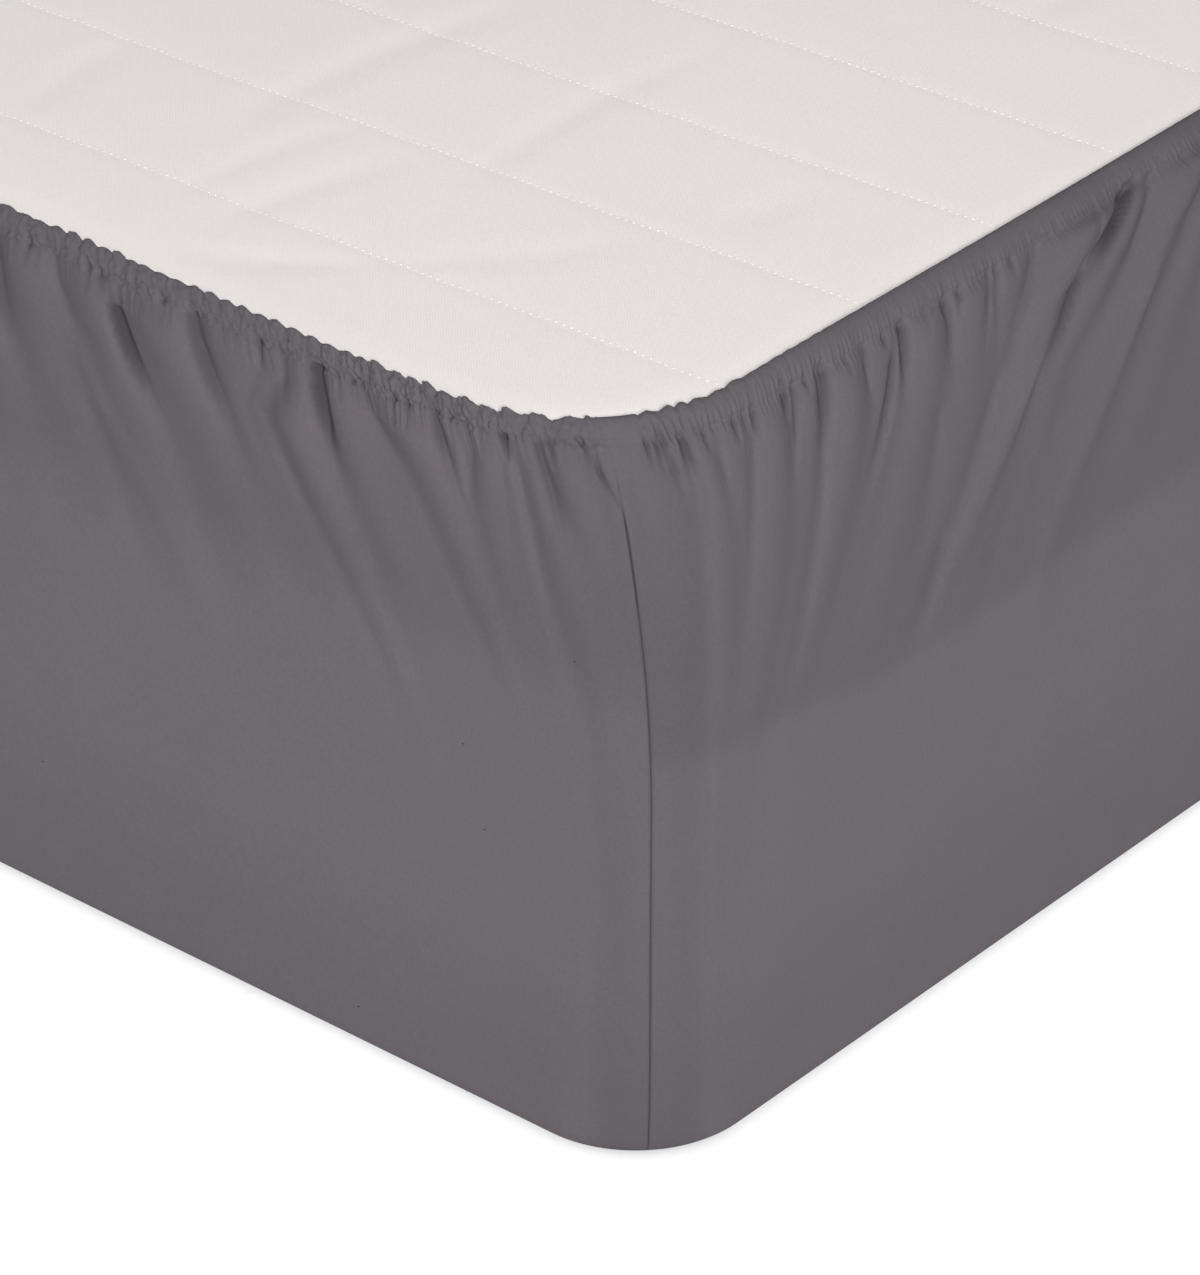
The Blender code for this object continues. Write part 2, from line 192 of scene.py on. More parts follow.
# A crease: its place at its start and its end, those two depths, how deep it cuts and its half width; the
# front corner's own are in millimetres
Crease = namedtuple("Crease", "top foot start end cut width")
FRONT_END_CREASES = table(
    Crease,
    (6, 5.5, 7, 14, 1.4, 1),
    (10.5, -7, 5, 52, 3, 1),
    (21.5, 21, 6, 20, 2.9, 1.1),
    (26.2, 20, 6, 62, 2.3, 2.3),
    (35.5, 38, 12, 110, 1.1, 3),
    (39.5, 38.8, 6, 17, 5, 1.4),
    (62, 62, 6, 13, 3.2, 1.1),
    (55.5, 69, 7, 58, 1.4, 2.6),
    (70.5, 72.5, 5, 36, 3.6, 2),
    (83, 83, 7, 13, 4, 1.1),
    (89.5, 89, 7, 13, 4.7, 1.3),
    (92.5, 89, 40, 120, 0.6, 5),
    (109.5, 90.5, 7, 50, 1.2, 4.2),
    (106.5, 106, 7, 13, 3.2, 1.1),
    (110.5, 110.5, 7, 13, 4, 1.1),
    (117.5, 117.5, 7, 13, 2.2, 1),
    (128.8, 134.5, 6, 50, 6.8, 2.8),
    (131.5, 131, 6, 12, 3.2, 1.1),
    (146, 148, 7, 36, 1.2, 2.6),
    (158, 157.5, 6, 15, 5.4, 1.4),
    (162.5, 159.5, 45, 165, 1.1, 3.2),
    (191.5, 191, 5, 13, 5.8, 1.5),
    (193, 186, 8, 62, 3.6, 3.6),
    (206.5, 206, 6, 13, 3.2, 1.2),
    (240.5, 235, 6, 24, 2.6, 2),
    (234.2, 225.4, 17, 56, 6.8, 2.3),
    (247, 244, 5, 14, 3.2, 1.3),
    (261, 265, 60, 155, 1.1, 2.8),
    (268, 252, 7, 46, 1.2, 3.6),
    (279, 277, 5, 15, 3.2, 1.3),
    (301, 291, 8, 70, 3.2, 4.2),
    (332, 325, 8, 60, 2.4, 3.4),
    (350, 344, 8, 55, 3, 3.6),
    per=1000,
)
FRONT_LONG_CREASES = table(
    Crease,
    (14.1, 14.1, 7.5, 18, 2.6, 0.8),
    (18, 18.4, 7.5, 22, 3.2, 0.9),
    (19.2, 26.5, 6, 36, 2.6, 1.3),
    (27.5, 30.2, 7.5, 28, 3.6, 1.5),
    (37, 37.2, 9, 16, 2.8, 1.1),
    (29.5, 32.5, 14, 126, 1.2, 3.4),
    (42, 42.5, 6, 44, 1, 1.9),
    (58.5, 54.5, 8, 126, 1.2, 4.2),
    (51.5, 51.2, 9, 21, 3, 1.2),
    (57, 56.7, 9, 17, 3, 1.1),
    (62.6, 62, 9, 24, 3, 1.5),
    (80.5, 81.3, 7, 25, 4.8, 1.6),
    (86.3, 81.5, 9, 50, 2.2, 2.2),
    (92, 92.5, 9, 17, 2.9, 1.2),
    (102.5, 101.5, 8, 50, 3.6, 2.8),
    (99.5, 113.5, 30, 138, 1.5, 4),
    (115, 115, 10, 22, 1.2, 1.5),
    (127, 129, 10, 34, 2.4, 1.7),
    (139, 138.8, 11, 18, 2.9, 1.4),
    (151, 152, 10, 42, 4.2, 2.2),
    (145, 134.5, 20, 72, 3.2, 2.2),
    (164, 162.5, 10, 26, 1, 1.8),
    (177.5, 177.2, 11, 20, 7, 1.8),
    (179.5, 182.5, 14, 44, 2.2, 2.6),
    (176.5, 197.5, 48, 118, 1.1, 4),
    (186.5, 184, 10, 24, 2.6, 1.7),
    (205.5, 198.5, 10, 46, 1.6, 2.4),
    (210.5, 209, 10, 30, 2, 2),
    (220, 219, 10, 20, 2.2, 1.6),
    (235.5, 213.5, 12, 64, 1.6, 3),
    (214.5, 209, 48, 128, 1.4, 3.4),
    (206.5, 213, 98, 154, 2, 4.6),
    (264.5, 246, 25, 68, 4.2, 3),
    (246.5, 228.5, 52, 128, 1.4, 3.4),
    (304, 265.5, 9, 36, 7.2, 4),
    (272.5, 265.5, 11, 30, 1.4, 2.6),
    (314.5, 264.5, 10, 78, 1.2, 3.6),
    (344.5, 308.5, 22, 84, 1, 3.4),
    (334, 333, 10, 20, 1.2, 1.8),
    per=1000,
)

# Folds elsewhere, in the same uneven steps as the sheet's solid: the first one's place, the steps between
# them and how those grow, each fold's lift and length, and its flanks and sway by the room it has
FAR_FIRST = 0.013
FAR_STEP = 0.024
FRONT_STEP = 0.055
STEP_GROWTH = 0.0095
WIDEST_STEP = 0.125
STEP_UNEVENNESS = 0.16
FAR_FOLD_LIFT = (0.0040, 0.0085)
FAR_FOLD_LENGTH = (0.080, 0.185)
FAR_FLANK_SHARE = 0.42
WIDEST_FLANK = 0.015
CORNER_FLANKS = (0.4, 0.8)
FAR_FLANKS = (0.8, 1.4)
FAR_SWAY = 0.10
LEAST_ROOM = 0.018
MIDDLE_ROOM = 0.035
SEED = 14
LAST_FRONT_END = 0.366
LAST_FRONT_LONG = 0.322

# Smaller folds between those, and the crease beside each, as ranges of each size
SMALL_FIRST = (0.010, 0.016)
SMALL_LAST_ROOM = 0.010
SMALL_STEP = (0.015, 0.026)
SMALL_LENGTH = (0.035, 0.095)
SMALL_SHIFT = 0.006
SMALL_LIFT = (0.0012, 0.0026)
SMALL_CORNER_FLANK = (0.003, 0.006)
SMALL_FAR_FLANK = (0.005, 0.010)
BESIDE = (0.005, 0.009)
BESIDE_START = 0.009
BESIDE_END = (0.026, 0.062)
BESIDE_CUT = (0.0014, 0.0044)
BESIDE_WIDTH = (0.0017, 0.0034)

# Short slits where the cloth is gathered into the hem's stitching
PUCKER_PITCH = 0.0125
PUCKER_STEP = (0.6, 1.4)
PUCKER_LEAN = 0.0015
PUCKER_START = 0.007
PUCKER_END = (0.012, 0.026)
PUCKER_CUT = 0.0024
PUCKER_CUT_RANGE = (0.4, 1.3)
PUCKER_WIDTH = (0.0010, 0.0018)
PUCKER_FIRST = 0.010
PUCKER_LAST_ROOM = 0.004

# An arched fold's height against its width, by the share of its reach
PROUDNESS = ((0.0, 0.120), (0.15, 0.120), (0.23, 0.085), (0.31, 0.058), (0.40, 0.042), (0.52, 0.029),
             (0.65, 0.017), (0.80, 0.008), (1.0, 0.0))
ARCH_SOFTNESS = (0.30, 0.85)
SOFT_START = 0.012
SOFT_RUN = 0.032

# A fold's shape: its flanks, how it blends into its neighbours and into the band, and how it starts and fades
FLANK_POWER = 1.7
CREST_BLEND = 2.4
BAND_SHARE = 0.30
BAND_DEPTH = 0.010
GATHER_DEPTH = 0.008
FADE_POWER = 1.25
FAR_LIFT_SHARE = 0.48
FOLD_START_RUN = 0.025
HEM_NARROWING = 0.80
HEM_NARROWING_DEPTH = 0.04
FOOT_WIDENING = 1.25

# A crease slopes gently on the side of the seam and steeply on the other, and fades past a share of its run
SEAM_SIDE_SOFTNESS = 1.6
FAR_SIDE_SOFTNESS = 0.6
CUT_SHARE = 0.8
CREASE_FULL = 0.25
CREASE_LEAD = 0.001
CREASE_RUN = 0.004
CREASE_SPREAD = 1.5

# The whole relief: where it starts beside a seam and below the band, and its broad soft waves
RELIEF_START = 0.0008
RELIEF_RUN = 0.006
BELOW_BAND_RUN = 0.015
WAVE_HEIGHT = 0.0007
WAVE_START = 0.006
WAVE_RUN = 0.05


def smooth(value):
    """Ease from 0 to 1."""
    value = np.clip(value, 0.0, 1.0)
    return value * value * (3.0 - 2.0 * value)


def mix(first, second, share):
    """A value between two, by a share from 0 to 1."""
    return first + (second - first) * share


# The frame
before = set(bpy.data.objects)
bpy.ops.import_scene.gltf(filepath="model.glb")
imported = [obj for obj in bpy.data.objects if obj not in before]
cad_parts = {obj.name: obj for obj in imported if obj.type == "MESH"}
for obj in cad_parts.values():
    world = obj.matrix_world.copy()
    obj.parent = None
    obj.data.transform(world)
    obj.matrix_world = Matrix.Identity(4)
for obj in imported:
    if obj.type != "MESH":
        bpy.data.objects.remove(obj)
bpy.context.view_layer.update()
low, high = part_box("mattress")
MIDDLE_X = (low[0] + high[0]) / 2
MIDDLE_Y = (low[1] + high[1]) / 2


# The taut surface
def other_side(side):
    """The kind of side that meets this one at a corner."""
    return LONG_SIDE if side.along_x else END_SIDE


def run_length(side, inset, radius):
    """Length of the outline from the middle of a corner to the middle of the side."""
    return radius * math.pi / 4 + side.half - inset - radius


def hem_run(side):
    """Length of the hem from a corner seam to the middle of the side."""
    return run_length(side, other_side(side).hem_inset, HEM_CORNER_RADIUS)


def bend(side, place, depth):
    """Inset from the wall and height, at places along the hem and depths down the cloth from it."""
    inset = side.hem_inset + side.hem_drift * smooth(place / side.half)
    tilt = math.radians(side.hem_tilt)
    reach = inset / (1.0 - math.sin(tilt))
    rise = (side.hem_height - side.bend_start) / math.cos(tilt)
    angle = mix(tilt, math.pi / 2, np.arange(BEND_STEPS + 1) / BEND_STEPS)
    across = reach[:, None] * (1.0 - np.sin(angle))
    height = side.bend_start + rise * np.cos(angle)
    steps = np.hypot(np.diff(across, axis=1), np.diff(height)[None, :])
    travelled = np.concatenate([np.zeros((len(place), 1)), np.cumsum(steps, axis=1)], axis=1)
    index = np.clip((travelled < depth[:, None]).sum(axis=1) - 1, 0, BEND_STEPS - 1)
    rows = np.arange(len(place))
    share = (depth - travelled[rows, index]) / steps[rows, index]
    past = depth > travelled[:, -1]
    inset_there = mix(across[rows, index], across[rows, index + 1], share)
    height_there = mix(height[index], height[index + 1], share)
    straight = side.bend_start - (depth - travelled[:, -1])
    return np.where(past, 0.0, inset_there), np.where(past, straight, height_there)


def corner_point(radius, distance):
    """Distance along a side and inset from it, on a rounded corner and the straight after it."""
    arc = radius * math.pi / 4
    angle = math.pi / 4 - distance / radius
    on_arc = distance < arc
    along = np.where(on_arc, radius - radius * np.sin(angle), radius + distance - arc)
    turned = np.where(on_arc, radius - radius * np.cos(angle), 0.0)
    return along, turned


def leaned(side, place, depth, inset, radius):
    """Distance from the corner seam after the lean, on the outline at a depth."""
    run = hem_run(side)
    near = place / LEAN_PLACE
    fade = np.maximum(1.0 - (place / run) ** 2, 0.0)
    shift = LEAN * near ** LEAN_POWER * np.exp(LEAN_POWER * (1.0 - near)) * fade
    share = (place - shift * smooth(depth / LEAN_DEPTH)) / run
    return share * run_length(side, inset, radius)


def to_world(wall, along_hem, along, turned, height):
    """World points from distances along and in from a wall; its far half is measured from its far corner."""
    along = np.where(along_hem > hem_run(wall.side), 2 * wall.side.half - along, along)
    x = wall.corner[0] * SHEET_WIDTH / 2 + wall.along[0] * along + wall.inward[0] * turned + MIDDLE_X
    y = wall.corner[1] * SHEET_LENGTH / 2 + wall.along[1] * along + wall.inward[1] * turned + MIDDLE_Y
    return np.stack([x, y, np.broadcast_to(height, x.shape)], axis=-1)


def upper_points(wall, along_hem, depth, extra_radius=0.0):
    """Taut cloth at depths down from the hem."""
    place = np.minimum(along_hem, 2 * hem_run(wall.side) - along_hem)
    depth = np.broadcast_to(depth, place.shape)
    radius = mix(HEM_CORNER_RADIUS, CORNER_RADIUS, smooth(depth / LEAN_DEPTH)) + extra_radius
    other_inset, other_height = bend(other_side(wall.side), np.zeros(place.shape), depth)
    own_inset, own_height = bend(wall.side, place, depth)
    corner_share = 0.5 * (1.0 - smooth(place / SIDE_BLEND))
    height = mix(own_height, other_height, corner_share)
    distance = leaned(wall.side, place, depth, other_inset, radius)
    along, turned = corner_point(radius, distance)
    return to_world(wall, along_hem, along + other_inset, turned + own_inset, height)


def lower_points(wall, along_hem, height, inset):
    """Plain wall, or the turn under it, at one height; the corners round off towards their foot."""
    place = np.minimum(along_hem, 2 * hem_run(wall.side) - along_hem)
    radius = CORNER_RADIUS + FOOT_ROUNDING * (1.0 - min(height / FOOT_HEIGHT, 1.0)) ** 2 - inset
    distance = leaned(wall.side, place, LEAN_DEPTH, inset, radius)
    along, turned = corner_point(radius, distance)
    return to_world(wall, along_hem, along + inset, turned + inset, height)


def edge_turn(angle):
    """Height and inset on the rounded edge at the floor."""
    angle = math.radians(angle)
    return EDGE_RADIUS * (1.0 - math.sin(angle)), EDGE_RADIUS * (1.0 - math.cos(angle))


# Columns round the whole sheet
class Ring:
    """Columns in one loop, each with a wall, a distance along its hem and one from the nearest seam."""

    def __init__(self, spacing):
        walls, along_hem = [], []
        self.starts = []
        for index, wall in enumerate(WALLS):
            self.starts.append(sum(len(part) for part in along_hem))
            places = spread(2 * hem_run(wall.side), lambda t, index=index: spacing(index, t))
            along_hem.append(places)
            walls.append(np.full(len(places), index))
        self.wall = np.concatenate(walls)
        self.along_hem = np.concatenate(along_hem)
        self.count = len(self.wall)
        runs = np.array([hem_run(wall.side) for wall in WALLS])
        run = runs[self.wall]
        self.place = np.minimum(self.along_hem, 2 * run - self.along_hem)
        self.half = 2 * self.wall + (self.along_hem > run)
        self.arc = self.along_hem + np.concatenate([[0.0], np.cumsum(2 * runs)])[self.wall]
        self.long_side = self.wall % 2 == 0

    def by_wall(self, points_of):
        """Points of all walls, from a function of a wall and its columns."""
        out = np.empty((self.count, 3))
        for index, wall in enumerate(WALLS):
            mine = self.wall == index
            out[mine] = points_of(wall, mine)
        return out

    def upper(self, depth, extra_radius=0.0):
        """Points of every wall at one depth, or at a depth for each column."""
        depth = np.broadcast_to(depth, (self.count,))
        return self.by_wall(lambda wall, mine: upper_points(wall, self.along_hem[mine], depth[mine],
                                                            extra_radius))

    def lower(self, height, inset):
        """Points of every wall at one height, moved in by an inset."""
        return self.by_wall(lambda wall, mine: lower_points(wall, self.along_hem[mine], height, inset))

    def upper_frame(self, depth, extra_radius=0.0):
        """Points at a depth, and the unit vectors down the cloth and out of it there."""
        points = self.upper(depth, extra_radius)
        above = self.upper(depth - NORMAL_STEP, extra_radius)
        below = self.upper(depth + NORMAL_STEP, extra_radius)
        return points, *ring_frame(points, above, below)[1:]


def near_corner_distance(wall, along_hem):
    """Distance along the hem from the front corner, on the two walls that meet there."""
    front_length = 2 * hem_run(END_SIDE)
    on_front = np.where(wall == FRONT_WALL, front_length - along_hem, 10.0)
    return np.where(wall == 0, along_hem, on_front)


def spread(length, spacing):
    """Places from 0 to just short of a length, spaced as a function says, in a whole number of groups."""
    fine = np.linspace(0.0, length, 20001)
    density = np.cumsum(1.0 / spacing(fine))
    density = (density - density[0]) / (density[-1] - density[0])
    wanted = np.sum(1.0 / spacing(fine)) * length / len(fine)
    count = COLUMN_GROUP * max(1, round(wanted / COLUMN_GROUP))
    return np.interp(np.arange(count) / count, density, fine)


def sheet_spacing(wall, along_hem):
    """Distance between the sheet's columns: finest at the seams and in the front corner's ruching."""
    distance = near_corner_distance(np.full(along_hem.shape, wall), along_hem)
    plain = mix(CORNER_SPACING, NEAR_SPACING, smooth((distance - CORNER_REACH) / SPACING_BLEND))
    plain = mix(plain, FAR_SPACING, smooth((distance - NEAR_REACH) / SPACING_BLEND))
    place = np.minimum(along_hem, along_hem[-1] - along_hem)
    return np.minimum(plain, SEAM_SPACING + SEAM_GROWTH * place)


def unit(vectors):
    """Vectors brought to length 1."""
    return vectors / np.linalg.norm(vectors, axis=-1, keepdims=True)


def ring_frame(points, above, below):
    """Unit tangents along the ring and down the cloth, and outward normals."""
    along = unit(np.roll(points, -1, axis=0) - np.roll(points, 1, axis=0))
    down = unit(below - above)
    return along, down, unit(np.cross(down, along))


# Folds and creases
def solid_folds():
    """Places, lengths and lifts of the folds past the front corner's own, drawn as in the sheet's solid."""
    rng = random.Random(SEED)
    halves = {}
    plan = ((0, LONG_SIDE, LAST_FRONT_LONG), (1, LONG_SIDE, None), (2, END_SIDE, None), (3, END_SIDE, None),
            (4, LONG_SIDE, None), (5, LONG_SIDE, None), (6, END_SIDE, None), (7, END_SIDE, LAST_FRONT_END))
    for half, side, last in plan:
        place, step = (FAR_FIRST, FAR_STEP) if last is None else (last + FRONT_STEP, FRONT_STEP)
        found = []
        while place < hem_run(side) - MIDDLE_ROOM:
            found.append((place, rng.uniform(*FAR_FOLD_LENGTH), rng.uniform(*FAR_FOLD_LIFT)))
            place += step * rng.uniform(1.0 - STEP_UNEVENNESS, 1.0 + STEP_UNEVENNESS)
            step = min(step + STEP_GROWTH, WIDEST_STEP)
        halves[half] = found
    return halves


def dressed_fold(place, length, lift, room, rng):
    """A fold of the solid with a swaying crest and uneven flanks."""
    flank = min(FAR_FLANK_SHARE * room, WIDEST_FLANK)
    sway = FAR_SWAY * room
    return Fold(place, place + rng.uniform(-sway, sway), place + rng.uniform(-sway, sway), 0.0, length,
                lift * FAR_LIFT_SHARE, flank * rng.uniform(*CORNER_FLANKS), flank * rng.uniform(*FAR_FLANKS))


def between_folds(first, last, rng):
    """Smaller folds and the creases beside them, in the room between two main folds."""
    folds, creases = [], []
    place = first + rng.uniform(*SMALL_FIRST)
    while place < last - SMALL_LAST_ROOM:
        length = rng.uniform(*SMALL_LENGTH)
        shift = rng.uniform(-SMALL_SHIFT, SMALL_SHIFT)
        folds.append(Fold(place, place + shift / 2, place + shift, 0.0, length, rng.uniform(*SMALL_LIFT),
                          rng.uniform(*SMALL_CORNER_FLANK), rng.uniform(*SMALL_FAR_FLANK)))
        beside = place + rng.choice((-1, 1)) * rng.uniform(*BESIDE)
        creases.append(Crease(beside, beside + shift, BESIDE_START, rng.uniform(*BESIDE_END),
                              rng.uniform(*BESIDE_CUT), rng.uniform(*BESIDE_WIDTH)))
        place += rng.uniform(*SMALL_STEP)
    return folds, creases


def puckers(first, last, rng):
    """Short slits along the hem's stitching."""
    creases = []
    place = first
    while place < last:
        lean = rng.uniform(-PUCKER_LEAN, PUCKER_LEAN)
        creases.append(Crease(place, place + lean, PUCKER_START, rng.uniform(*PUCKER_END),
                              PUCKER_CUT * rng.uniform(*PUCKER_CUT_RANGE), rng.uniform(*PUCKER_WIDTH)))
        place += PUCKER_PITCH * rng.uniform(*PUCKER_STEP)
    return creases


def all_folds():
    """Folds and creases of each of the eight half walls."""
    rng = random.Random(SEED + 1)
    own = {0: (FRONT_LONG_RIDGES, FRONT_LONG_CREASES), 7: (FRONT_END_RIDGES, FRONT_END_CREASES)}
    halves = []
    for half, solid in solid_folds().items():
        folds, creases = (list(rows) for rows in own.get(half, ((), ())))
        side = WALLS[half // 2].side
        last = FRONT_VALLEYS[half][-1].first / 1000 if half in FRONT_VALLEYS else 0.0
        marks = [last] + [row[0] for row in solid] + [hem_run(side)]
        for index, (place, length, lift) in enumerate(solid):
            room = min(place - marks[index], marks[index + 2] - place)
            folds.append(dressed_fold(place, length, lift, max(room, LEAST_ROOM), rng))
        for before, after in zip(marks, marks[1:]):
            more_folds, more_creases = between_folds(before, after, rng)
            folds += more_folds
            creases += more_creases
        creases += puckers(max(last, PUCKER_FIRST), hem_run(side) - PUCKER_LAST_ROOM, rng)
        halves.append((folds, creases))
    return halves


def arch_heights(valleys, place, depth):
    """How far the folds between valleys stand out: round arches with sharp valleys, softer lower down."""
    marks = [np.interp(depth, FOLD_DEPTHS, row[:4]) / 1000 for row in valleys]
    softness = mix(*ARCH_SOFTNESS, smooth((depth - SOFT_START) / SOFT_RUN))
    height = np.zeros(place.shape)
    for near, far, row in zip(marks, marks[1:], valleys):
        width = np.maximum(far - near, 0.0001)
        share = np.clip((place - near) / width, 0.0, 1.0) ** row.skew
        arch = mix(1.0 - (2.0 * share - 1.0) ** 2, np.sin(math.pi * share) ** 2, softness)
        height += arch * width * row.proud * np.interp(depth / row.reach, *zip(*PROUDNESS))
    return height


def fold_heights(folds, place, depth):
    """How far folds stand out at places along the hem and depths, blended where they meet."""
    if not folds:
        return np.zeros(place.shape)
    columns = (column[:, None] for column in np.array(folds).T)
    hem, middle, foot, start, length, lift, corner_flank, far_flank = columns
    share = np.clip(depth / length, 0.0, 1.0)
    crest = (hem * (1 - share) * (1 - 2 * share) + middle * 4 * share * (1 - share)
             + foot * share * (2 * share - 1))
    started = smooth((depth - start) / FOLD_START_RUN + (start <= 0.0))
    fade = (1.0 - share) ** FADE_POWER
    narrow = mix(HEM_NARROWING, 1.0, smooth(depth / HEM_NARROWING_DEPTH)) * mix(1.0, FOOT_WIDENING, share)
    across = place - crest
    flank = np.where(across < 0, corner_flank, far_flank) * narrow
    height = lift * started * fade * np.exp(-np.abs(across / flank) ** FLANK_POWER)
    return np.sum(height ** CREST_BLEND, axis=0) ** (1.0 / CREST_BLEND)


def band_share(depth):
    """Share of a fold's lift in the hem band and just below it."""
    in_band = BAND_SHARE * np.maximum(depth, 0.0) / BAND_DEPTH
    below = mix(BAND_SHARE, 1.0, smooth((depth - BAND_DEPTH) / GATHER_DEPTH))
    return np.where(depth <= BAND_DEPTH, in_band, below)


def crease_cuts(creases, place, depth):
    """How deep creases cut at places along the hem and depths."""
    top, foot, start, end, cut, width = (row[:, None] for row in np.array(creases).T)
    share = np.clip((depth - start) / (end - start), 0.0, 1.0)
    fading = smooth((share - CREASE_FULL) / (1.0 - CREASE_FULL))
    reach = (1.0 - fading) * smooth((depth - start + CREASE_LEAD) / CREASE_RUN)
    across = (place - mix(top, foot, share)) / (width * mix(1.0, CREASE_SPREAD, share))
    across /= np.where(across < 0, SEAM_SIDE_SOFTNESS, FAR_SIDE_SOFTNESS)
    cuts = CUT_SHARE * cut * reach * np.exp(-across ** 2)
    return np.sum(cuts ** CREST_BLEND, axis=0) ** (1.0 / CREST_BLEND)


def seam_groove(place, depth):
    """The V where two walls are sewn together, and the pinch of cloth beside it."""
    pinch = SEAM_PINCH * np.exp(-(place / SEAM_PINCH_REACH) ** 2)
    groove = np.interp(depth, *zip(*SEAM_GROOVES))
    return groove * np.maximum(1.0 - place / SEAM_HALF_WIDTH, 0.0) + pinch


def waves(ring, depth):
    """Broad soft unevenness of the whole cloth."""
    arc = ring.arc
    height = (0.35 * np.sin(arc / 0.034 + 9.0 * depth) * np.sin(arc / 0.21 + 1.0)
              + 0.45 * np.sin(arc / 0.071 - 14.0 * depth + 2.0)
              + 0.40 * np.sin(arc / 0.019 + 22.0 * depth) * np.cos(arc / 0.13 + 11.0 * depth))
    return WAVE_HEIGHT * height * smooth((ring.place - WAVE_START) / WAVE_RUN)


HALF_FOLDS = all_folds()


def relief(ring, depth):
    """Distance of the cloth from its stretched surface at a depth, or a depth for each column."""
    depth = np.broadcast_to(depth, (ring.count,))
    height = np.zeros(ring.count)
    for half, (folds, creases) in enumerate(HALF_FOLDS):
        mine = ring.half == half
        place = ring.place[mine]
        lift = fold_heights(folds, place, depth[mine])
        if half in FRONT_VALLEYS:
            lift += arch_heights(FRONT_VALLEYS[half], place, depth[mine])
        lift *= band_share(depth[mine])
        height[mine] = lift - crease_cuts(creases, place, depth[mine])
    height *= smooth((ring.place - RELIEF_START) / RELIEF_RUN)
    below_band = smooth((depth - BAND_DEPTH) / BELOW_BAND_RUN)
    return height + below_band * (waves(ring, depth) - seam_groove(ring.place, depth))


# The gathered hem
RIPPLE_MARGIN = 0.02
RIPPLE_POWER = 1.5


class Ripples:
    """Uneven ripples along the hem, whose crests lean away from the nearest seam as they go down."""

    def __init__(self, pitch, unevenness, lowest, seed):
        rng = random.Random(seed)
        self.marks, self.sizes = [], []
        for index, wall in enumerate(WALLS):
            length = 2 * hem_run(wall.side)
            marks = [-RIPPLE_MARGIN]
            while marks[-1] < length + RIPPLE_MARGIN:
                place = min(marks[-1], length - marks[-1])
                step = pitch(index, place) * rng.uniform(1.0 - unevenness, 1.0 + unevenness)
                marks.append(marks[-1] + step)
            self.marks.append(np.array(marks))
            self.sizes.append(np.array([rng.uniform(lowest, 1.0) for _ in marks]))

    def heights(self, ring, lean, depth):
        """Heights from 0 in the sharp valleys to 1 on the highest rounded crests."""
        out = np.empty(ring.count)
        away = np.where(ring.half % 2 == 0, 1.0, -1.0) * lean * depth
        for index in range(len(WALLS)):
            mine = ring.wall == index
            marks = self.marks[index]
            phase = np.interp(ring.along_hem[mine] - away[mine], marks, np.arange(len(marks)))
            nearest = np.round(phase)
            crest = 1.0 - (2.0 * np.abs(phase - nearest)) ** RIPPLE_POWER
            out[mine] = crest * self.sizes[index][nearest.astype(int)]
        return out


def by_place(ring, end_table, long_table):
    """Values along every wall from short tables of distance from the nearest seam and value."""
    out = np.empty(ring.count)
    for is_long, table in ((False, end_table), (True, long_table)):
        mine = ring.long_side == is_long
        places, values = zip(*table)
        out[mine] = np.interp(ring.place[mine], places, values)
    return out


def scallop_pitch(wall, place):
    """Distance between the hem's puffs, at a distance from the nearest seam."""
    if WALLS[wall].side is LONG_SIDE:
        return 0.0066 if place < 0.035 else 0.0082
    return 0.0100 if 0.015 < place < 0.085 else 0.0086


def ruche_pitch(wall, place):
    """Distance between the fine gathers, at a distance from the nearest seam."""
    if WALLS[wall].side is LONG_SIDE:
        return 0.0032 if place < 0.030 else 0.0025
    return 0.0034 if place < 0.10 else 0.0042


SCALLOPS = Ripples(scallop_pitch, 0.28, 0.35, seed=5)
RUCHES = Ripples(ruche_pitch, 0.30, 0.25, seed=6)

# Tables of distance from a seam and value, on the end sides and on the long ones. In turn: the band's width,
# the rise of its puffs and of its fine gathers, the share of the band where the gathers start, how both lean,
# the rise of the crumples, how far the band stands out, and how much of the crumples shows on its top and of
# the puffs on its face
BAND_WIDTHS = (((0.0, 0.0086), (0.05, 0.0085), (0.12, 0.0089), (0.5, 0.0089)),
               ((0.0, 0.0086), (0.03, 0.0095), (0.08, 0.0115), (0.12, 0.0125), (1.0, 0.0128)))
SCALLOP_RISES = (((0.0, 0.0), (0.004, 0.0012), (0.013, 0.0036), (0.085, 0.0031), (0.12, 0.0021),
                  (0.5, 0.0020)),
                 ((0.0, 0.0), (0.012, 0.0), (0.015, 0.0017), (0.040, 0.0014), (0.090, 0.0004), (0.12, 0.0001),
                  (1.0, 0.0001)))
RUCHE_RISES = (((0.0, 0.0002), (0.003, 0.0008), (0.010, 0.0011), (0.080, 0.0007), (0.12, 0.0003),
                (0.5, 0.0003)),
               ((0.0, 0.0), (0.012, 0.0), (0.014, 0.0021), (0.030, 0.0017), (0.050, 0.0013), (0.075, 0.0010),
                (1.0, 0.0008)))
RUCHE_TOPS = (((0.0, 0.0), (0.10, 0.1), (0.14, 0.45), (0.5, 0.45)),
              ((0.0, 0.25), (0.022, 0.40), (0.040, 0.55), (1.0, 0.60)))
LEANS = (((0.0, 0.8), (0.10, 0.6), (0.5, 0.3)), ((0.0, 0.3), (0.06, 0.1), (0.4, 0.2), (1.0, 0.2)))
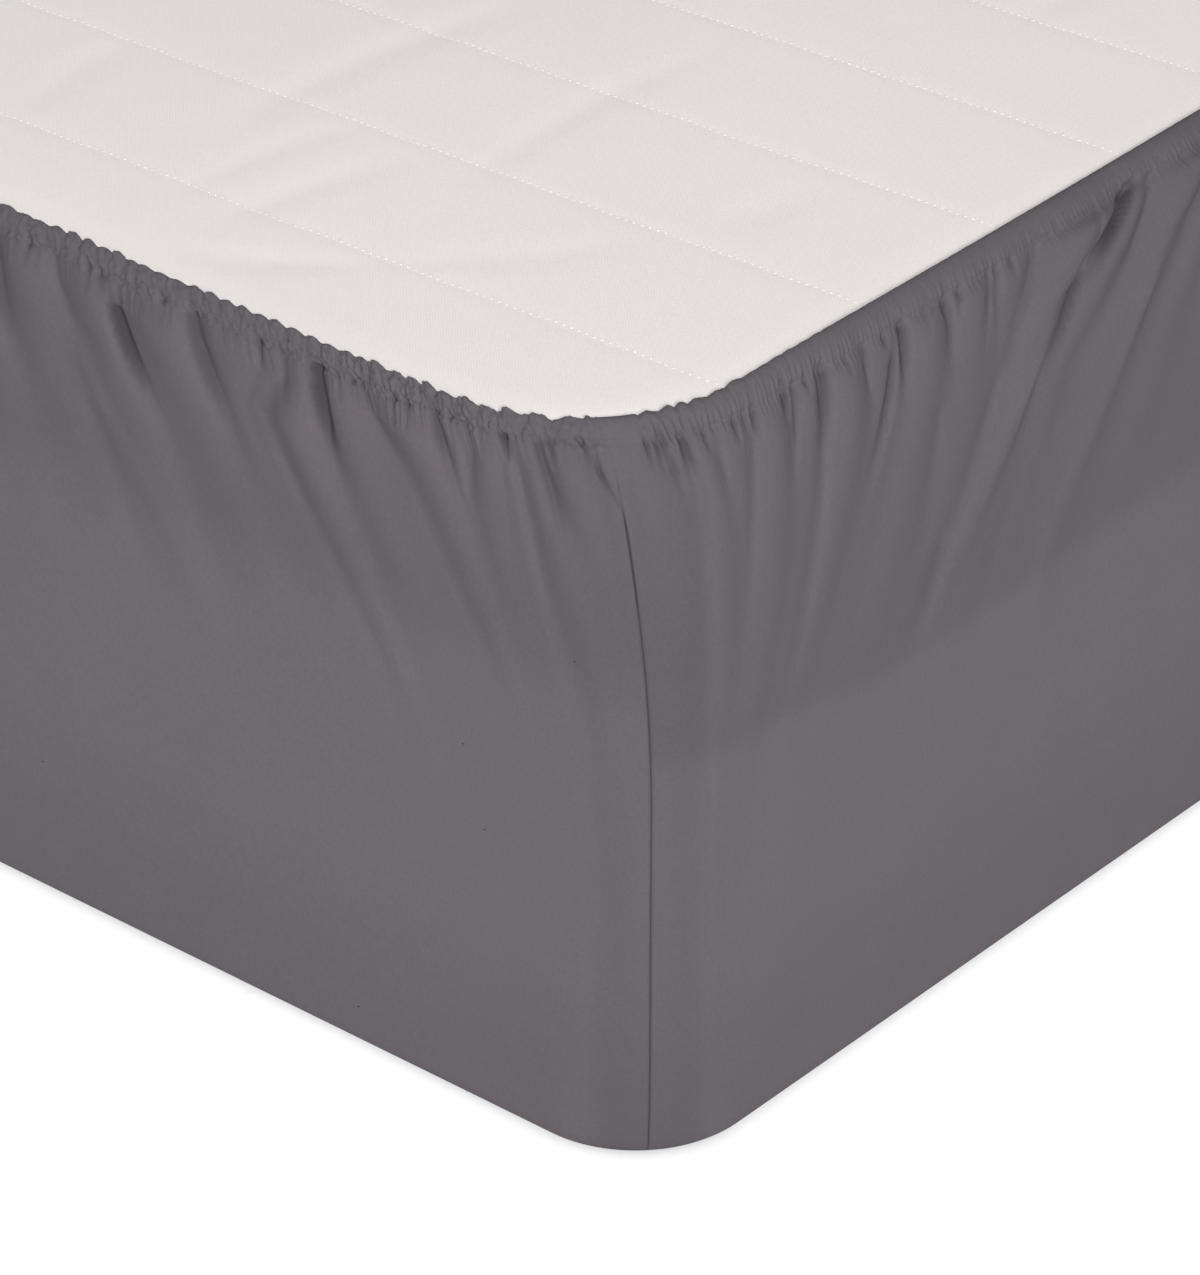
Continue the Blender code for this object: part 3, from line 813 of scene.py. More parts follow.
CRUMPLE_RISES = (((0.0, 0.0004), (0.003, 0.0018), (0.09, 0.0024), (0.13, 0.0020), (0.5, 0.0018)),
                 ((0.0, 0.0), (0.012, 0.0001), (0.016, 0.0011), (0.045, 0.0005), (0.09, 0.0003),
                  (1.0, 0.0003)))
LEDGES = (((0.0, 0.9), (0.03, 0.45), (0.5, 0.45)), ((0.0, 0.9), (1.0, 0.9)))
CRUMPLED_TOPS = (((0.0, 0.8), (0.09, 0.8), (0.13, 0.2), (0.5, 0.2)), ((0.0, 0.5), (0.05, 0.3), (1.0, 0.3)))
SCALLOP_FACES = (((0.0, 0.55), (0.10, 0.45), (0.5, 0.40)), ((0.0, 0.45), (0.05, 0.35), (1.0, 0.30)))

# Crumples: the size of the puffs, the finer ones on them, the level of their dents and where they fade out
CRUMPLE_SIZE = 0.0023
FINE_CRUMPLE = 0.45
FINE_CRUMPLE_SCALE = 2.1
CRUMPLE_LEVEL = 0.25
CRUMPLE_FADE = 0.013
CRUMPLE_END = 0.024
CREST_SMOOTHING = 0.75
CREST_HEIGHT = 0.0025

# The puffs and gathers on the band: the level about which each moves the cloth, and how they blend
SCALLOP_LEAN_SHARE = 0.5
SCALLOP_LEVEL = 0.5
TOP_LEVEL = 0.4
RUCHE_LEVEL = 0.6
RUCHE_BLEND = 0.3
TOP_RUCHE_SHARE = 0.3
FACE_FADE = 0.6
INSIDE_BAND = -0.0005

# The turned-over hem's cross-section, from its edge inside the band, over the top and down to the stitching:
# share of the band's width from its top, distance outwards, how much of the top's scallops, and of the face's
HemRow = namedtuple("HemRow", "share out top face")
HEM_ROWS = table(
    HemRow,
    (0.90, -0.0014, 0.0, 0.0),
    (0.45, -0.0016, 0.2, 0.0),
    (0.12, -0.0014, 0.8, 0.0),
    (0.00, -0.0009, 1.0, 0.1),
    (-0.04, -0.0002, 1.0, 0.3),
    (-0.03, 0.0006, 1.0, 0.5),
    (0.03, 0.0012, 0.95, 0.7),
    (0.11, 0.0016, 0.80, 0.9),
    (0.21, 0.0018, 0.60, 1.0),
    (0.32, 0.0018, 0.40, 1.0),
    (0.44, 0.0017, 0.25, 1.0),
    (0.56, 0.0015, 0.12, 1.0),
    (0.67, 0.0013, 0.05, 1.0),
    (0.77, 0.0010, 0.0, 1.0),
    (0.86, 0.0006, 0.0, 1.0),
    (0.93, 0.0003, 0.0, 0.9),
    (1.00, 0.0000, 0.0, 0.8),
    (1.07, 0.0001, 0.0, 0.7),
    (1.16, 0.0002, 0.0, 0.55),
    (1.27, 0.0002, 0.0, 0.35),
)


def crumples(ring, points, depth):
    """Small uneven puffs with sharp dents between them, in the hem and just below it."""
    width = by_place(ring, *BAND_WIDTHS)
    fading = 1.0 - smooth((depth - width) / CRUMPLE_FADE)
    rise = by_place(ring, *CRUMPLE_RISES) * fading
    puffs = [abs(noise_at(point)) + FINE_CRUMPLE * abs(noise_at(FINE_CRUMPLE_SCALE * point))
             for point in map(Vector, points / CRUMPLE_SIZE)]
    return rise * (np.array(puffs) - CRUMPLE_LEVEL)


def hem_level(ring, row):
    """Points of the hem at one row of its cross-section, and their depth."""
    width = by_place(ring, *BAND_WIDTHS)
    lean = by_place(ring, *LEANS)
    depth = width * row.share
    points, down, normal = ring.upper_frame(depth)
    scallop_rise = by_place(ring, *SCALLOP_RISES)
    scallop_face = by_place(ring, *SCALLOP_FACES)
    ruche_rise = by_place(ring, *RUCHE_RISES)
    ruche_top = by_place(ring, *RUCHE_TOPS)
    ruche_share = smooth((row.share - ruche_top + RUCHE_BLEND / 2) / RUCHE_BLEND)
    scallops = SCALLOPS.heights(ring, lean * SCALLOP_LEAN_SHARE, depth)
    ruches = RUCHES.heights(ring, lean, depth)
    fading = 1.0 - FACE_FADE * smooth(row.share)
    puffs = crumples(ring, points, depth)
    puffed = scallop_face * fading * scallop_rise * (scallops - SCALLOP_LEVEL)
    gathered = ruche_share * ruche_rise * (ruches - RUCHE_LEVEL)
    out = row.out * by_place(ring, *LEDGES) + row.face * (puffed + gathered)
    top_gathers = TOP_RUCHE_SHARE * ruche_share * ruche_rise * ruches
    raised = row.top * (scallop_rise * (scallops - TOP_LEVEL) + top_gathers
                        + by_place(ring, *CRUMPLED_TOPS) * puffs)
    if row.out > INSIDE_BAND:
        out = out + relief(ring, depth) + puffs
    return points - down * raised[:, None] + normal * out[:, None], depth


# Meshes
class Piece:
    """Points, cloth coordinates, share of painted light, painted shade and faces of one mesh, added row by
    row.
    """

    def __init__(self):
        self.points, self.coords, self.tautness, self.shade, self.faces = [], [], [], [], []
        self.count = 0

    def add_row(self, points, coords, tautness=0.0, shade=1.0):
        """Add points as a row, and give their numbers."""
        start = self.count
        self.points.append(np.asarray(points, float))
        self.coords.append(np.asarray(coords, float))
        self.tautness.append(np.broadcast_to(tautness, (len(points),)))
        self.shade.append(np.broadcast_to(shade, (len(points),)))
        self.count += len(points)
        return np.arange(start, self.count)

    def join(self, upper, lower):
        """Quads between two rows of the same count."""
        self.faces += np.stack([upper[:-1], lower[:-1], lower[1:], upper[1:]], axis=1).tolist()

    def join_to_half(self, upper, lower):
        """Triangles from a row to one with every second of its columns."""
        left, middle, right = upper[:-2:2], upper[1:-1:2], upper[2::2]
        self.faces += np.stack([left, lower[:-1], middle], axis=1).tolist()
        self.faces += np.stack([lower[:-1], lower[1:], middle], axis=1).tolist()
        self.faces += np.stack([middle, lower[1:], right], axis=1).tolist()

    def build(self, name, material):
        """The piece as an object in the scene."""
        mesh = bpy.data.meshes.new(name)
        points = np.concatenate(self.points)
        coords = np.concatenate(self.coords)
        mesh.from_pydata(points.tolist(), [], self.faces)
        mesh.update()
        corners = np.empty(len(mesh.loops), dtype=np.int32)
        mesh.loops.foreach_get("vertex_index", corners)
        layer = mesh.uv_layers.new(name="cloth")
        layer.data.foreach_set("uv", coords[corners].astype(np.float32).ravel())
        # The first attribute holds the share of painted light, the second the painted shade
        for label, values in (("taut", self.tautness), ("shade", self.shade)):
            layer = mesh.attributes.new(name=label, type="FLOAT", domain="POINT")
            layer.data.foreach_set("value", np.concatenate(values).astype(np.float32))
        mesh.shade_smooth()
        mesh.materials.append(material)
        thing = bpy.data.objects.new(name, mesh)
        bpy.context.scene.collection.objects.link(thing)
        return thing


# Materials
CLOUD_SCALE = 38.0
SLUB_SCALE = 700.0
SLUB_HEIGHT = 0.8
BUMP_DISTANCE = 0.00012
TWIST_SCALE = 900.0
TWIST_SHADES = (0.90, 1.06)


def new_material(name):
    """A material with its nodes and its shader."""
    material = bpy.data.materials.new(name)
    material.use_nodes = True
    tree = material.node_tree
    return material, tree, tree.nodes["Principled BSDF"]


def add_node(tree, kind, inputs=(), **settings):
    """A node with its settings, and its inputs set or linked by name or number."""
    node = tree.nodes.new(kind)
    for key, value in settings.items():
        setattr(node, key, value)
    for key, value in dict(inputs).items():
        if isinstance(value, bpy.types.NodeSocket):
            tree.links.new(value, node.inputs[key])
        else:
            node.inputs[key].default_value = value
    return node


def math_node(tree, operation, first, second=0.0):
    """The result of a sum on one or two values."""
    return add_node(tree, "ShaderNodeMath", {0: first, 1: second}, operation=operation).outputs[0]


def woven(tree, pitch, coords):
    """Height of a plain weave: threads that pass over and under each other."""
    parts = add_node(tree, "ShaderNodeSeparateXYZ", {0: coords})
    turn = math.pi / pitch
    across = math_node(tree, "SINE", math_node(tree, "MULTIPLY", parts.outputs[0], turn))
    along = math_node(tree, "SINE", math_node(tree, "MULTIPLY", parts.outputs[1], turn))
    over = math_node(tree, "GREATER_THAN", math_node(tree, "MULTIPLY", across, along), 0.0)
    warp = math_node(tree, "ABSOLUTE", across)
    weft = math_node(tree, "ABSOLUTE", along)
    blend = add_node(tree, "ShaderNodeMix", {0: over, 2: warp, 3: weft}, data_type="FLOAT")
    return blend.outputs[0]


def noise(tree, coords, scale, detail):
    """Soft noise from 0 to 1."""
    node = add_node(tree, "ShaderNodeTexNoise", {"Vector": coords, "Scale": scale, "Detail": detail})
    return node.outputs[0]


def ranged(tree, value, low_value, high_value):
    """A 0 to 1 value brought to a range."""
    node = add_node(tree, "ShaderNodeMapRange", {"Value": value, "To Min": low_value, "To Max": high_value})
    return node.outputs[0]


def cloth_material(name, colour, painted_light_colour, pitch, thread_shade, cloud, slub, bump, roughness):
    """Matt woven cloth: thread colour, cloudy colour, painted light and shade, and the threads' height."""
    material, tree, shader = new_material(name)
    coords = add_node(tree, "ShaderNodeUVMap", uv_map="cloth").outputs[0]
    object_coords = add_node(tree, "ShaderNodeTexCoord").outputs["Object"]
    # Share of painted light from the mesh: a lighter, cooler grey on the smooth walls below the folds
    taut = add_node(tree, "ShaderNodeAttribute", attribute_name="taut").outputs["Fac"]
    threads = woven(tree, pitch, coords)
    clouds = noise(tree, object_coords, CLOUD_SCALE, 4.0)
    slubs = noise(tree, object_coords, SLUB_SCALE, 3.0)
    # The weave paints the colour darker in the hollows between threads and lighter on their tops: painted
    # shade
    shade = math_node(tree, "MULTIPLY", ranged(tree, threads, 1.0 - thread_shade, 1.0 + thread_shade),
                      ranged(tree, clouds, 1.0 - cloud, 1.0 + cloud))
    shade = math_node(tree, "MULTIPLY", shade, ranged(tree, slubs, 1.0 - slub, 1.0 + slub))
    # Painted shade from the mesh: darker corners, seam lines and creases
    painted_shade = add_node(tree, "ShaderNodeAttribute", attribute_name="shade").outputs["Fac"]
    shade = math_node(tree, "MULTIPLY", shade, painted_shade)
    base = add_node(tree, "ShaderNodeMix", {0: taut, 6: (*colour, 1.0), 7: (*painted_light_colour, 1.0)},
                    data_type="RGBA").outputs[2]
    tint = add_node(tree, "ShaderNodeVectorMath", {0: base, 3: shade}, operation="SCALE").outputs[0]
    tree.links.new(tint, shader.inputs["Base Color"])
    height = math_node(tree, "ADD", threads, math_node(tree, "MULTIPLY", slubs, SLUB_HEIGHT))
    raised = add_node(tree, "ShaderNodeBump", {"Height": height, "Strength": bump, "Distance": BUMP_DISTANCE})
    tree.links.new(raised.outputs[0], shader.inputs["Normal"])
    shader.inputs["Roughness"].default_value = roughness
    shader.inputs["Specular IOR Level"].default_value = 0.08
    return material


def thread_material(name, colour):
    """Sewing thread: twisted plies."""
    material, tree, shader = new_material(name)
    coords = add_node(tree, "ShaderNodeTexCoord").outputs["Object"]
    plies = add_node(tree, "ShaderNodeTexWave", {"Vector": coords, "Scale": TWIST_SCALE, "Distortion": 1.0},
                     bands_direction="DIAGONAL").outputs[0]
    shade = ranged(tree, plies, *TWIST_SHADES)
    tint = add_node(tree, "ShaderNodeVectorMath", {0: colour, 3: shade}, operation="SCALE").outputs[0]
    tree.links.new(tint, shader.inputs["Base Color"])
    shader.inputs["Roughness"].default_value = 0.6
    shader.inputs["Specular IOR Level"].default_value = 0.2
    return material


# The gathered cloth's grey, and a lighter, cooler grey that paints light on the smooth walls below the folds
GREY_COLOUR = (0.0920, 0.0825, 0.0910)
PAINTED_LIGHT_GREY = (0.1008, 0.0955, 0.1052)
TICKING_COLOUR = (0.743, 0.703, 0.701)
GREY = cloth_material("grey cloth", GREY_COLOUR, PAINTED_LIGHT_GREY, pitch=0.00034, thread_shade=0.06,
                      cloud=0.025, slub=0.12, bump=0.30, roughness=0.95)
TICKING = cloth_material("cream ticking", TICKING_COLOUR, TICKING_COLOUR, pitch=0.00075, thread_shade=0.02,
                         cloud=0.012, slub=0.05, bump=0.30, roughness=0.95)
GREY_THREAD = thread_material("grey thread", GREY_COLOUR)
CREAM_THREAD = thread_material("cream thread", (0.735, 0.694, 0.690))


# The sheet
RING = Ring(sheet_spacing)


def sheet_levels():
    """Every level of the sheet from the hem's hidden edge to the rim on the floor.

    A level is how many columns it skips, its points and its distance down the cloth."""
    levels = []
    for row in HEM_ROWS:
        points, depth = hem_level(RING, row)
        levels.append((1, points, depth))
    for skip, (first, last, count) in ((1, GATHER_ROWS), (2, FOLD_ROWS), (4, FOOT_ROWS)):
        for depth in np.linspace(first, last, count):
            points, _, normal = RING.upper_frame(depth)
            out = relief(RING, depth)
            if depth < CRUMPLE_END:
                kept = 1.0 - CREST_SMOOTHING * smooth(out / CREST_HEIGHT)
                out = out + crumples(RING, points, depth) * kept
            levels.append((skip, points + normal * out[:, None], depth))
    depth = FOOT_ROWS[1]
    top = RING.upper(depth)
    middle = RING.lower(WALL_BREAK, 0.0)
    walls = [mix(top, middle, row / WALL_ROWS) for row in range(1, WALL_ROWS + 1)]
    walls += [RING.lower(height, 0.0) for height in np.linspace(WALL_BREAK, EDGE_RADIUS, LOW_ROWS + 1)[1:]]
    for points in walls:
        reached = depth + float(np.mean(top[:, 2] - points[:, 2]))
        down = np.broadcast_to([0.0, 0.0, -1.0], points.shape)
        normal = unit(np.cross(down, ring_frame(points, points - down, points + down)[0]))
        levels.append((4, points + normal * relief(RING, reached)[:, None], reached))
    depth = reached
    for turn in EDGE_TURNS:
        height, inset = edge_turn(turn)
        levels.append((4, RING.lower(height, inset), depth + EDGE_RADIUS * math.radians(turn)))
    levels.append((4, RING.lower(0.0, EDGE_RADIUS + FLOOR_RIM), levels[-1][2] + FLOOR_RIM))
    return levels


# Depths where the folds end, by distance from a seam, on the end sides and on the long ones
FOLD_ENDS = (((0.0, 0.098), (0.5, 0.098)),
             ((0.0, 0.124), (0.049, 0.128), (0.098, 0.131), (0.141, 0.135), (0.180, 0.141), (0.260, 0.142),
              (0.350, 0.138), (1.0, 0.138)))
# Painted light below those depths, fading in over these widths, and fading out again near the foot
END_SOFTNESS = 0.045
LONG_SOFTNESS = 0.014
LOW_START = 0.205
LOW_SOFTNESS = 0.070


def tautness(ring, depth):
    """Share of painted light: 0 in the gathered cloth, 1 on the smooth wall below the folds, less near the
    foot.
    """
    past = depth - by_place(ring, *FOLD_ENDS)
    softness = np.where(ring.long_side, LONG_SOFTNESS, END_SOFTNESS)
    below = smooth(past / softness + 0.5)
    return below * (1.0 - FOOT_SHADE * smooth((depth - LOW_START) / LOW_SOFTNESS))


# Painted shade: a little darker at the corners and in the creases, and a dark line along each sewn edge
CORNER_SHADE = (0.08, 0.20)
CORNER_SHADE_REACH = 0.037
SEAM_SHADE = 0.48
SEAM_SHADE_REACH = 0.0005
SEAM_SHADE_START = 0.029
SEAM_SHADE_RUN = 0.009
CORNER_SHADE_DEPTH = 0.09
CREASE_SHADE = 0.54
SHALLOW_CUT = 0.0010
DEEP_CUT = 0.0022
BAND_EDGE_RUN = 0.002
BAND_EDGE_SHARE = 0.3
# How much of the painted light fades out at the foot of the walls, leaving painted shade there
FOOT_SHADE = 0.8


def crease_shade(ring, depth):
    """Share of the cloth's colour left by the painted shade in the creases."""
    cuts = np.zeros(ring.count)
    for half, (_, creases) in enumerate(HALF_FOLDS):
        mine = ring.half == half
        cuts[mine] = crease_cuts(creases, ring.place[mine], depth[mine])
    below_band = smooth((depth - by_place(ring, *BAND_WIDTHS)) / BAND_EDGE_RUN + BAND_EDGE_SHARE)
    deep = 1.0 - np.exp(-np.maximum(cuts - SHALLOW_CUT, 0.0) / DEEP_CUT)
    return 1.0 - CREASE_SHADE * below_band * deep


def corner_shade(ring, depth):
    """Share of the cloth's colour left by the painted shade at the corners and along the seams."""
    strength = mix(*CORNER_SHADE, smooth(depth / CORNER_SHADE_DEPTH))
    corner = np.exp(-(ring.place / CORNER_SHADE_REACH) ** 4) * strength
    started = smooth((depth - SEAM_SHADE_START) / SEAM_SHADE_RUN)
    seam = SEAM_SHADE * np.maximum(1.0 - ring.place / SEAM_SHADE_REACH, 0.0) * started
    return (1.0 - corner) * (1.0 - seam)


def arc_total():
    """Length of the whole hem."""
    return sum(2 * hem_run(wall.side) for wall in WALLS)


def cloth_strip(levels, columns):
    """Part of the sheet over some columns, from one seam to another, and its last row."""
    piece = Piece()
    last_row, last_skip = None, None
    for skip, points, depth in levels:
        mine = columns[::skip]
        arc = RING.arc[mine]
        arc = arc + (arc < arc[0]) * arc_total()
        depths = np.broadcast_to(depth, RING.arc.shape)
        # Each row carries its share of painted light and its painted shade
        row = piece.add_row(points[mine], np.stack([arc, depths[mine]], axis=1), tautness(RING, depths)[mine],
                            (corner_shade(RING, depths) * crease_shade(RING, depths))[mine])
        if last_row is not None:
            joiner = piece.join if skip == last_skip else piece.join_to_half
            joiner(last_row, row)
        last_row, last_skip = row, skip
    return piece, last_row


def build_sheet():
    """Two cloth pieces that meet in the seams of two opposite corners; the first has the floor panel too."""
    levels = sheet_levels()
    count = RING.count
    starts = RING.starts
    front_columns = np.arange(starts[FRONT_WALL], count + starts[1] + 1) % count
    back_columns = np.arange(starts[1], starts[FRONT_WALL] + 1)

    front, rim = cloth_strip(levels, front_columns)
    rest = levels[-1][1][back_columns[::4]][1:-1]
    others = front.add_row(rest, rest[:, :2])
    front.faces.append(rim[::-1].tolist() + others[::-1].tolist())
    front_sheet = front.build("sheet_front", GREY)
    back_sheet = cloth_strip(levels, back_columns)[0].build("sheet_back", GREY)
    return front_sheet, back_sheet


# Stitches
STITCH_SIDES = 5
STITCH_RINGS = (0.22, 0.78)
STITCH_THICKNESS = 0.85
STITCH_ARCH = 0.15
STITCH_SINK = 0.5


def stitches(name, starts, ends, normals, radius, material):
    """Short threads, pointed at both ends and arched, as one mesh."""
    piece = Piece()
    along = unit(ends - starts)
    across = unit(np.cross(normals, along))
    count = len(starts)
    near_end = piece.add_row(starts - normals * radius * STITCH_SINK, np.zeros((count, 2)))
    rings = []
    for share in STITCH_RINGS:
        middle = mix(starts, ends, share) + normals * radius * STITCH_ARCH
        around = []
        for side in range(STITCH_SIDES):
            angle = 2.0 * math.pi * side / STITCH_SIDES
            offset = across * math.cos(angle) + normals * math.sin(angle)
            around.append(piece.add_row(middle + offset * radius * STITCH_THICKNESS, np.zeros((count, 2))))
        rings.append(around)
    far_end = piece.add_row(ends - normals * radius * STITCH_SINK, np.zeros((count, 2)))
    first, second = rings
    for side in range(STITCH_SIDES):
        after = (side + 1) % STITCH_SIDES
        piece.faces += np.stack([near_end, first[after], first[side]], axis=1).tolist()
        piece.faces += np.stack([first[side], first[after], second[after], second[side]], axis=1).tolist()
        piece.faces += np.stack([far_end, second[side], second[after]], axis=1).tolist()
    return piece.build(name, material)


HEM_STITCH_PITCH = 0.0030
HEM_STITCH_LENGTH = 0.0022
HEM_STITCH_RADIUS = 0.00014
HEM_STITCH_LIFT = 0.3
STITCHING_ROW = 14


def build_hem_stitches():
    """The row that closes the turned-over hem, just above its lower edge."""
    points, _ = hem_level(RING, HEM_ROWS[STITCHING_ROW])
    above, below = (hem_level(RING, HEM_ROWS[STITCHING_ROW + step])[0] for step in (-1, 1))
    normal = ring_frame(points, above, below)[2]
    closed = np.concatenate([points, points[:1]])
    travelled = np.concatenate([[0.0], np.cumsum(np.linalg.norm(np.diff(closed, axis=0), axis=1))])
    middles = np.arange(0.0, travelled[-1], HEM_STITCH_PITCH)

    def at(places, rows):
        """Values at places along the loop, from its rows of values."""
        loop = np.concatenate([rows, rows[:1]])
        return np.stack([np.interp(places, travelled, loop[:, axis]) for axis in range(3)], axis=1)

    out = unit(at(middles, normal))
    starts = at(middles - HEM_STITCH_LENGTH / 2, points)
    ends = at(middles + HEM_STITCH_LENGTH / 2, points)
    lift = out * HEM_STITCH_RADIUS * HEM_STITCH_LIFT
    return stitches("hem_stitches", starts + lift, ends + lift, out, HEM_STITCH_RADIUS, GREY_THREAD)


# The mattress cover
COVER_GAP = 0.0022
COVER_FOLD_GAP = 0.0110
COVER_EXTRA_RADIUS = 0.003
COVER_EDGE_DROP = 0.0006
COVER_EDGE_RUN = 0.014
FLOOR_CLEARANCE = 0.0023
STITCH_PITCH = 0.085
FIRST_STITCH = 0.078
CHANNEL_DEPTH = 0.0002
CHANNEL_HALF_WIDTH = 0.0040
CHANNEL_POWER = 1.6
PUFF = 0.0001
UNEVENNESS = 0.0004
FLAT_EDGE = 0.03
COVER_SPACING = 0.002
COVER_COLUMNS = 170
ROW_OFFSETS = (-0.020, -0.012, -0.0075, -0.0045, -0.0025, -0.0010, 0.0, 0.0010, 0.0025, 0.0045, 0.0075, 0.012,
               0.020, 0.031, 0.0425, 0.054)
END_LINES = (0.0, 0.001, 0.003, 0.006, 0.010, 0.016, 0.023, 0.031)
END_BLEND = 0.070
COVER_STITCH_STEP = 0.0038
COVER_STITCH_LENGTH = 0.0023
COVER_STITCH_RADIUS = 0.00024
COVER_STITCH_LIFT = 0.2
COVER_STITCH_MARGIN = 0.001
STITCH_WANDER = (0.0004, 0.0003)

# The cover's hidden sides: depths down the cloth and the gaps kept to it, then the plain wall and its foot
SKIRT = ((0.003, 0.004), (0.008, 0.0085), (0.020, COVER_FOLD_GAP), (0.045, COVER_FOLD_GAP),
         (0.08, COVER_FOLD_GAP), (0.12, COVER_FOLD_GAP), (0.152, COVER_GAP))
SKIRT_HEIGHTS = (WALL_BREAK, 0.045, 0.028, EDGE_RADIUS)
SKIRT_TURNS = (45.0, 80.0)

# Soft wrinkles in the ticking: two ends, how high and how wide; they bow, and fade at both ends
WRINKLE_SHARE = 0.6
WRINKLE_BOW = 0.06
WRINKLE_ENDS = 0.35
Wrinkle = namedtuple("Wrinkle", "x1 y1 x2 y2 height width")
WRINKLES = table(
    Wrinkle,
    (0.140, -0.640, 0.130, -0.845, -0.0011, 0.009),
    (0.226, -0.630, 0.240, -0.825, -0.0010, 0.008),
    (0.208, -0.790, 0.184, -0.905, -0.0010, 0.007),
    (0.165, -0.930, 0.262, -0.872, -0.0011, 0.006),
    (0.250, -0.880, 0.320, -0.795, -0.0009, 0.006),
    (0.035, -0.780, 0.060, -0.870, -0.0010, 0.008),
    (0.168, -0.780, 0.155, -0.895, -0.0008, 0.006),
    (0.331, -0.775, 0.335, -0.715, -0.0008, 0.010),
    (0.060, -0.600, 0.090, -0.400, 0.0010, 0.010),
    (0.300, -0.560, 0.270, -0.360, -0.0009, 0.009),
    (-0.120, -0.820, -0.080, -0.560, 0.0010, 0.009),
    (-0.300, -0.760, -0.270, -0.480, -0.0010, 0.010),
    (-0.200, -0.420, -0.150, -0.150, 0.0009, 0.011),
    (0.180, -0.200, 0.220, 0.080, 0.0009, 0.011),
    (-0.060, 0.060, -0.020, 0.380, -0.0010, 0.009),
    (0.280, 0.260, 0.310, 0.560, 0.0009, 0.010),
    (-0.310, 0.240, -0.260, 0.560, 0.0009, 0.010),
    (0.100, 0.560, 0.140, 0.850, -0.0010, 0.009),
    (-0.200, 0.640, -0.240, 0.880, 0.0009, 0.010),
)


def stitch_rows():
    """Where the rows of stitching lie along the mattress."""
    count = int((SHEET_LENGTH - 2 * FIRST_STITCH) / STITCH_PITCH) + 1
    return [MIDDLE_Y - SHEET_LENGTH / 2 + FIRST_STITCH + index * STITCH_PITCH for index in range(count)]


def cover_height(x, y, edge):
    """Height of the quilted face; edge is the distance in from its outline."""
    rows = np.array(stitch_rows())
    away = np.min(np.abs(y[..., None] - rows), axis=-1)
    height = PUFF * np.sin(np.clip(away / (STITCH_PITCH / 2), 0, 1) * math.pi / 2)
    height -= CHANNEL_DEPTH * np.exp(-(away / CHANNEL_HALF_WIDTH) ** CHANNEL_POWER)
    height += UNEVENNESS * np.sin(x / 0.047 + y / 0.09) * np.sin(y / 0.061 + 1.3)
    for wrinkle in WRINKLES:
        height += wrinkle_height(wrinkle, x, y)
    drop = COVER_EDGE_DROP * (1.0 - smooth(edge / COVER_EDGE_RUN))
    return MATTRESS_TOP + height * smooth(edge / FLAT_EDGE) - drop


def wrinkle_height(wrinkle, x, y):
    """A soft ridge with a slightly bowed line between two points."""
    run_x, run_y = wrinkle.x2 - wrinkle.x1, wrinkle.y2 - wrinkle.y1
    length = math.hypot(run_x, run_y)
    share = ((x - wrinkle.x1) * run_x + (y - wrinkle.y1) * run_y) / length ** 2
    across = ((x - wrinkle.x1) * run_y - (y - wrinkle.y1) * run_x) / length
    bow = WRINKLE_BOW * length * (4.0 * share * (1.0 - share))
    ends = smooth(share / WRINKLE_ENDS) * smooth((1.0 - share) / WRINKLE_ENDS)
    return WRINKLE_SHARE * wrinkle.height * ends * np.exp(-((across - bow) / wrinkle.width) ** 2)


def build_cover():
    """The mattress: a fine quilted face inside the hem line, whose hidden sides go down inside the sheet."""
    right, back, left, front = (COVER_LINE[COVER_RING.wall == index] for index in range(len(WALLS)))
    low_y, high_y = right[0, 1], back[0, 1]
    lines = cover_lines(low_y, high_y)[:, None]
    right_x = np.interp(lines, right[:, 1], right[:, 0])
    left_x = np.interp(lines, left[::-1, 1], left[::-1, 0])
    shares = np.linspace(0.0, 1.0, COVER_COLUMNS + 1)[None, :]
    x = mix(left_x, right_x, shares)
    front_bow = np.interp(mix(left_x[0], right_x[0], shares), front[:, 0], front[:, 1]) - low_y
    back_bow = np.interp(mix(left_x[-1], right_x[-1], shares), back[::-1, 0], back[::-1, 1]) - high_y
    front_share = 1.0 - smooth((lines - low_y) / END_BLEND)
    back_share = 1.0 - smooth((high_y - lines) / END_BLEND)
    y = lines + front_bow * front_share + back_bow * back_share
    edge = np.minimum(np.minimum(x - left_x, right_x - x), np.minimum(y - y[:1], y[-1:] - y))
    z = cover_height(x, y, np.maximum(edge, 0.0))

    piece = Piece()
    rows = [piece.add_row(np.stack([x[i], y[i], z[i]], axis=1), np.stack([x[i], y[i]], axis=1))
            for i in range(len(lines))]
    for near, far in zip(rows, rows[1:]):
        piece.join(far, near)
    border = [row[-1] for row in rows[:-1]] + list(rows[-1][:0:-1])
    border += [row[0] for row in rows[:0:-1]] + list(rows[0][:-1])
    add_cover_sides(piece, np.array(border))
    return piece.build("mattress_cover", TICKING)


def cover_lines(low_y, high_y):
    """Lines across the mattress: close together at the stitching, and at both ends."""
    ends = np.array(END_LINES)
    places = list(low_y + ends) + list(high_y - ends)
    for row in stitch_rows():
        places += [row + offset for offset in ROW_OFFSETS]
    places = np.unique(np.round(places, 5))
    return places[(places >= round(low_y, 5)) & (places <= round(high_y, 5))]


def inner_line(ring, depth, gap):
    """The ring at a depth, moved in from the stretched cloth by a gap."""
    points, _, normal = ring.upper_frame(depth, COVER_EXTRA_RADIUS)
    points = points - normal * gap
    points[:, 2] = np.minimum(points[:, 2], MATTRESS_TOP - COVER_EDGE_DROP)
    return points


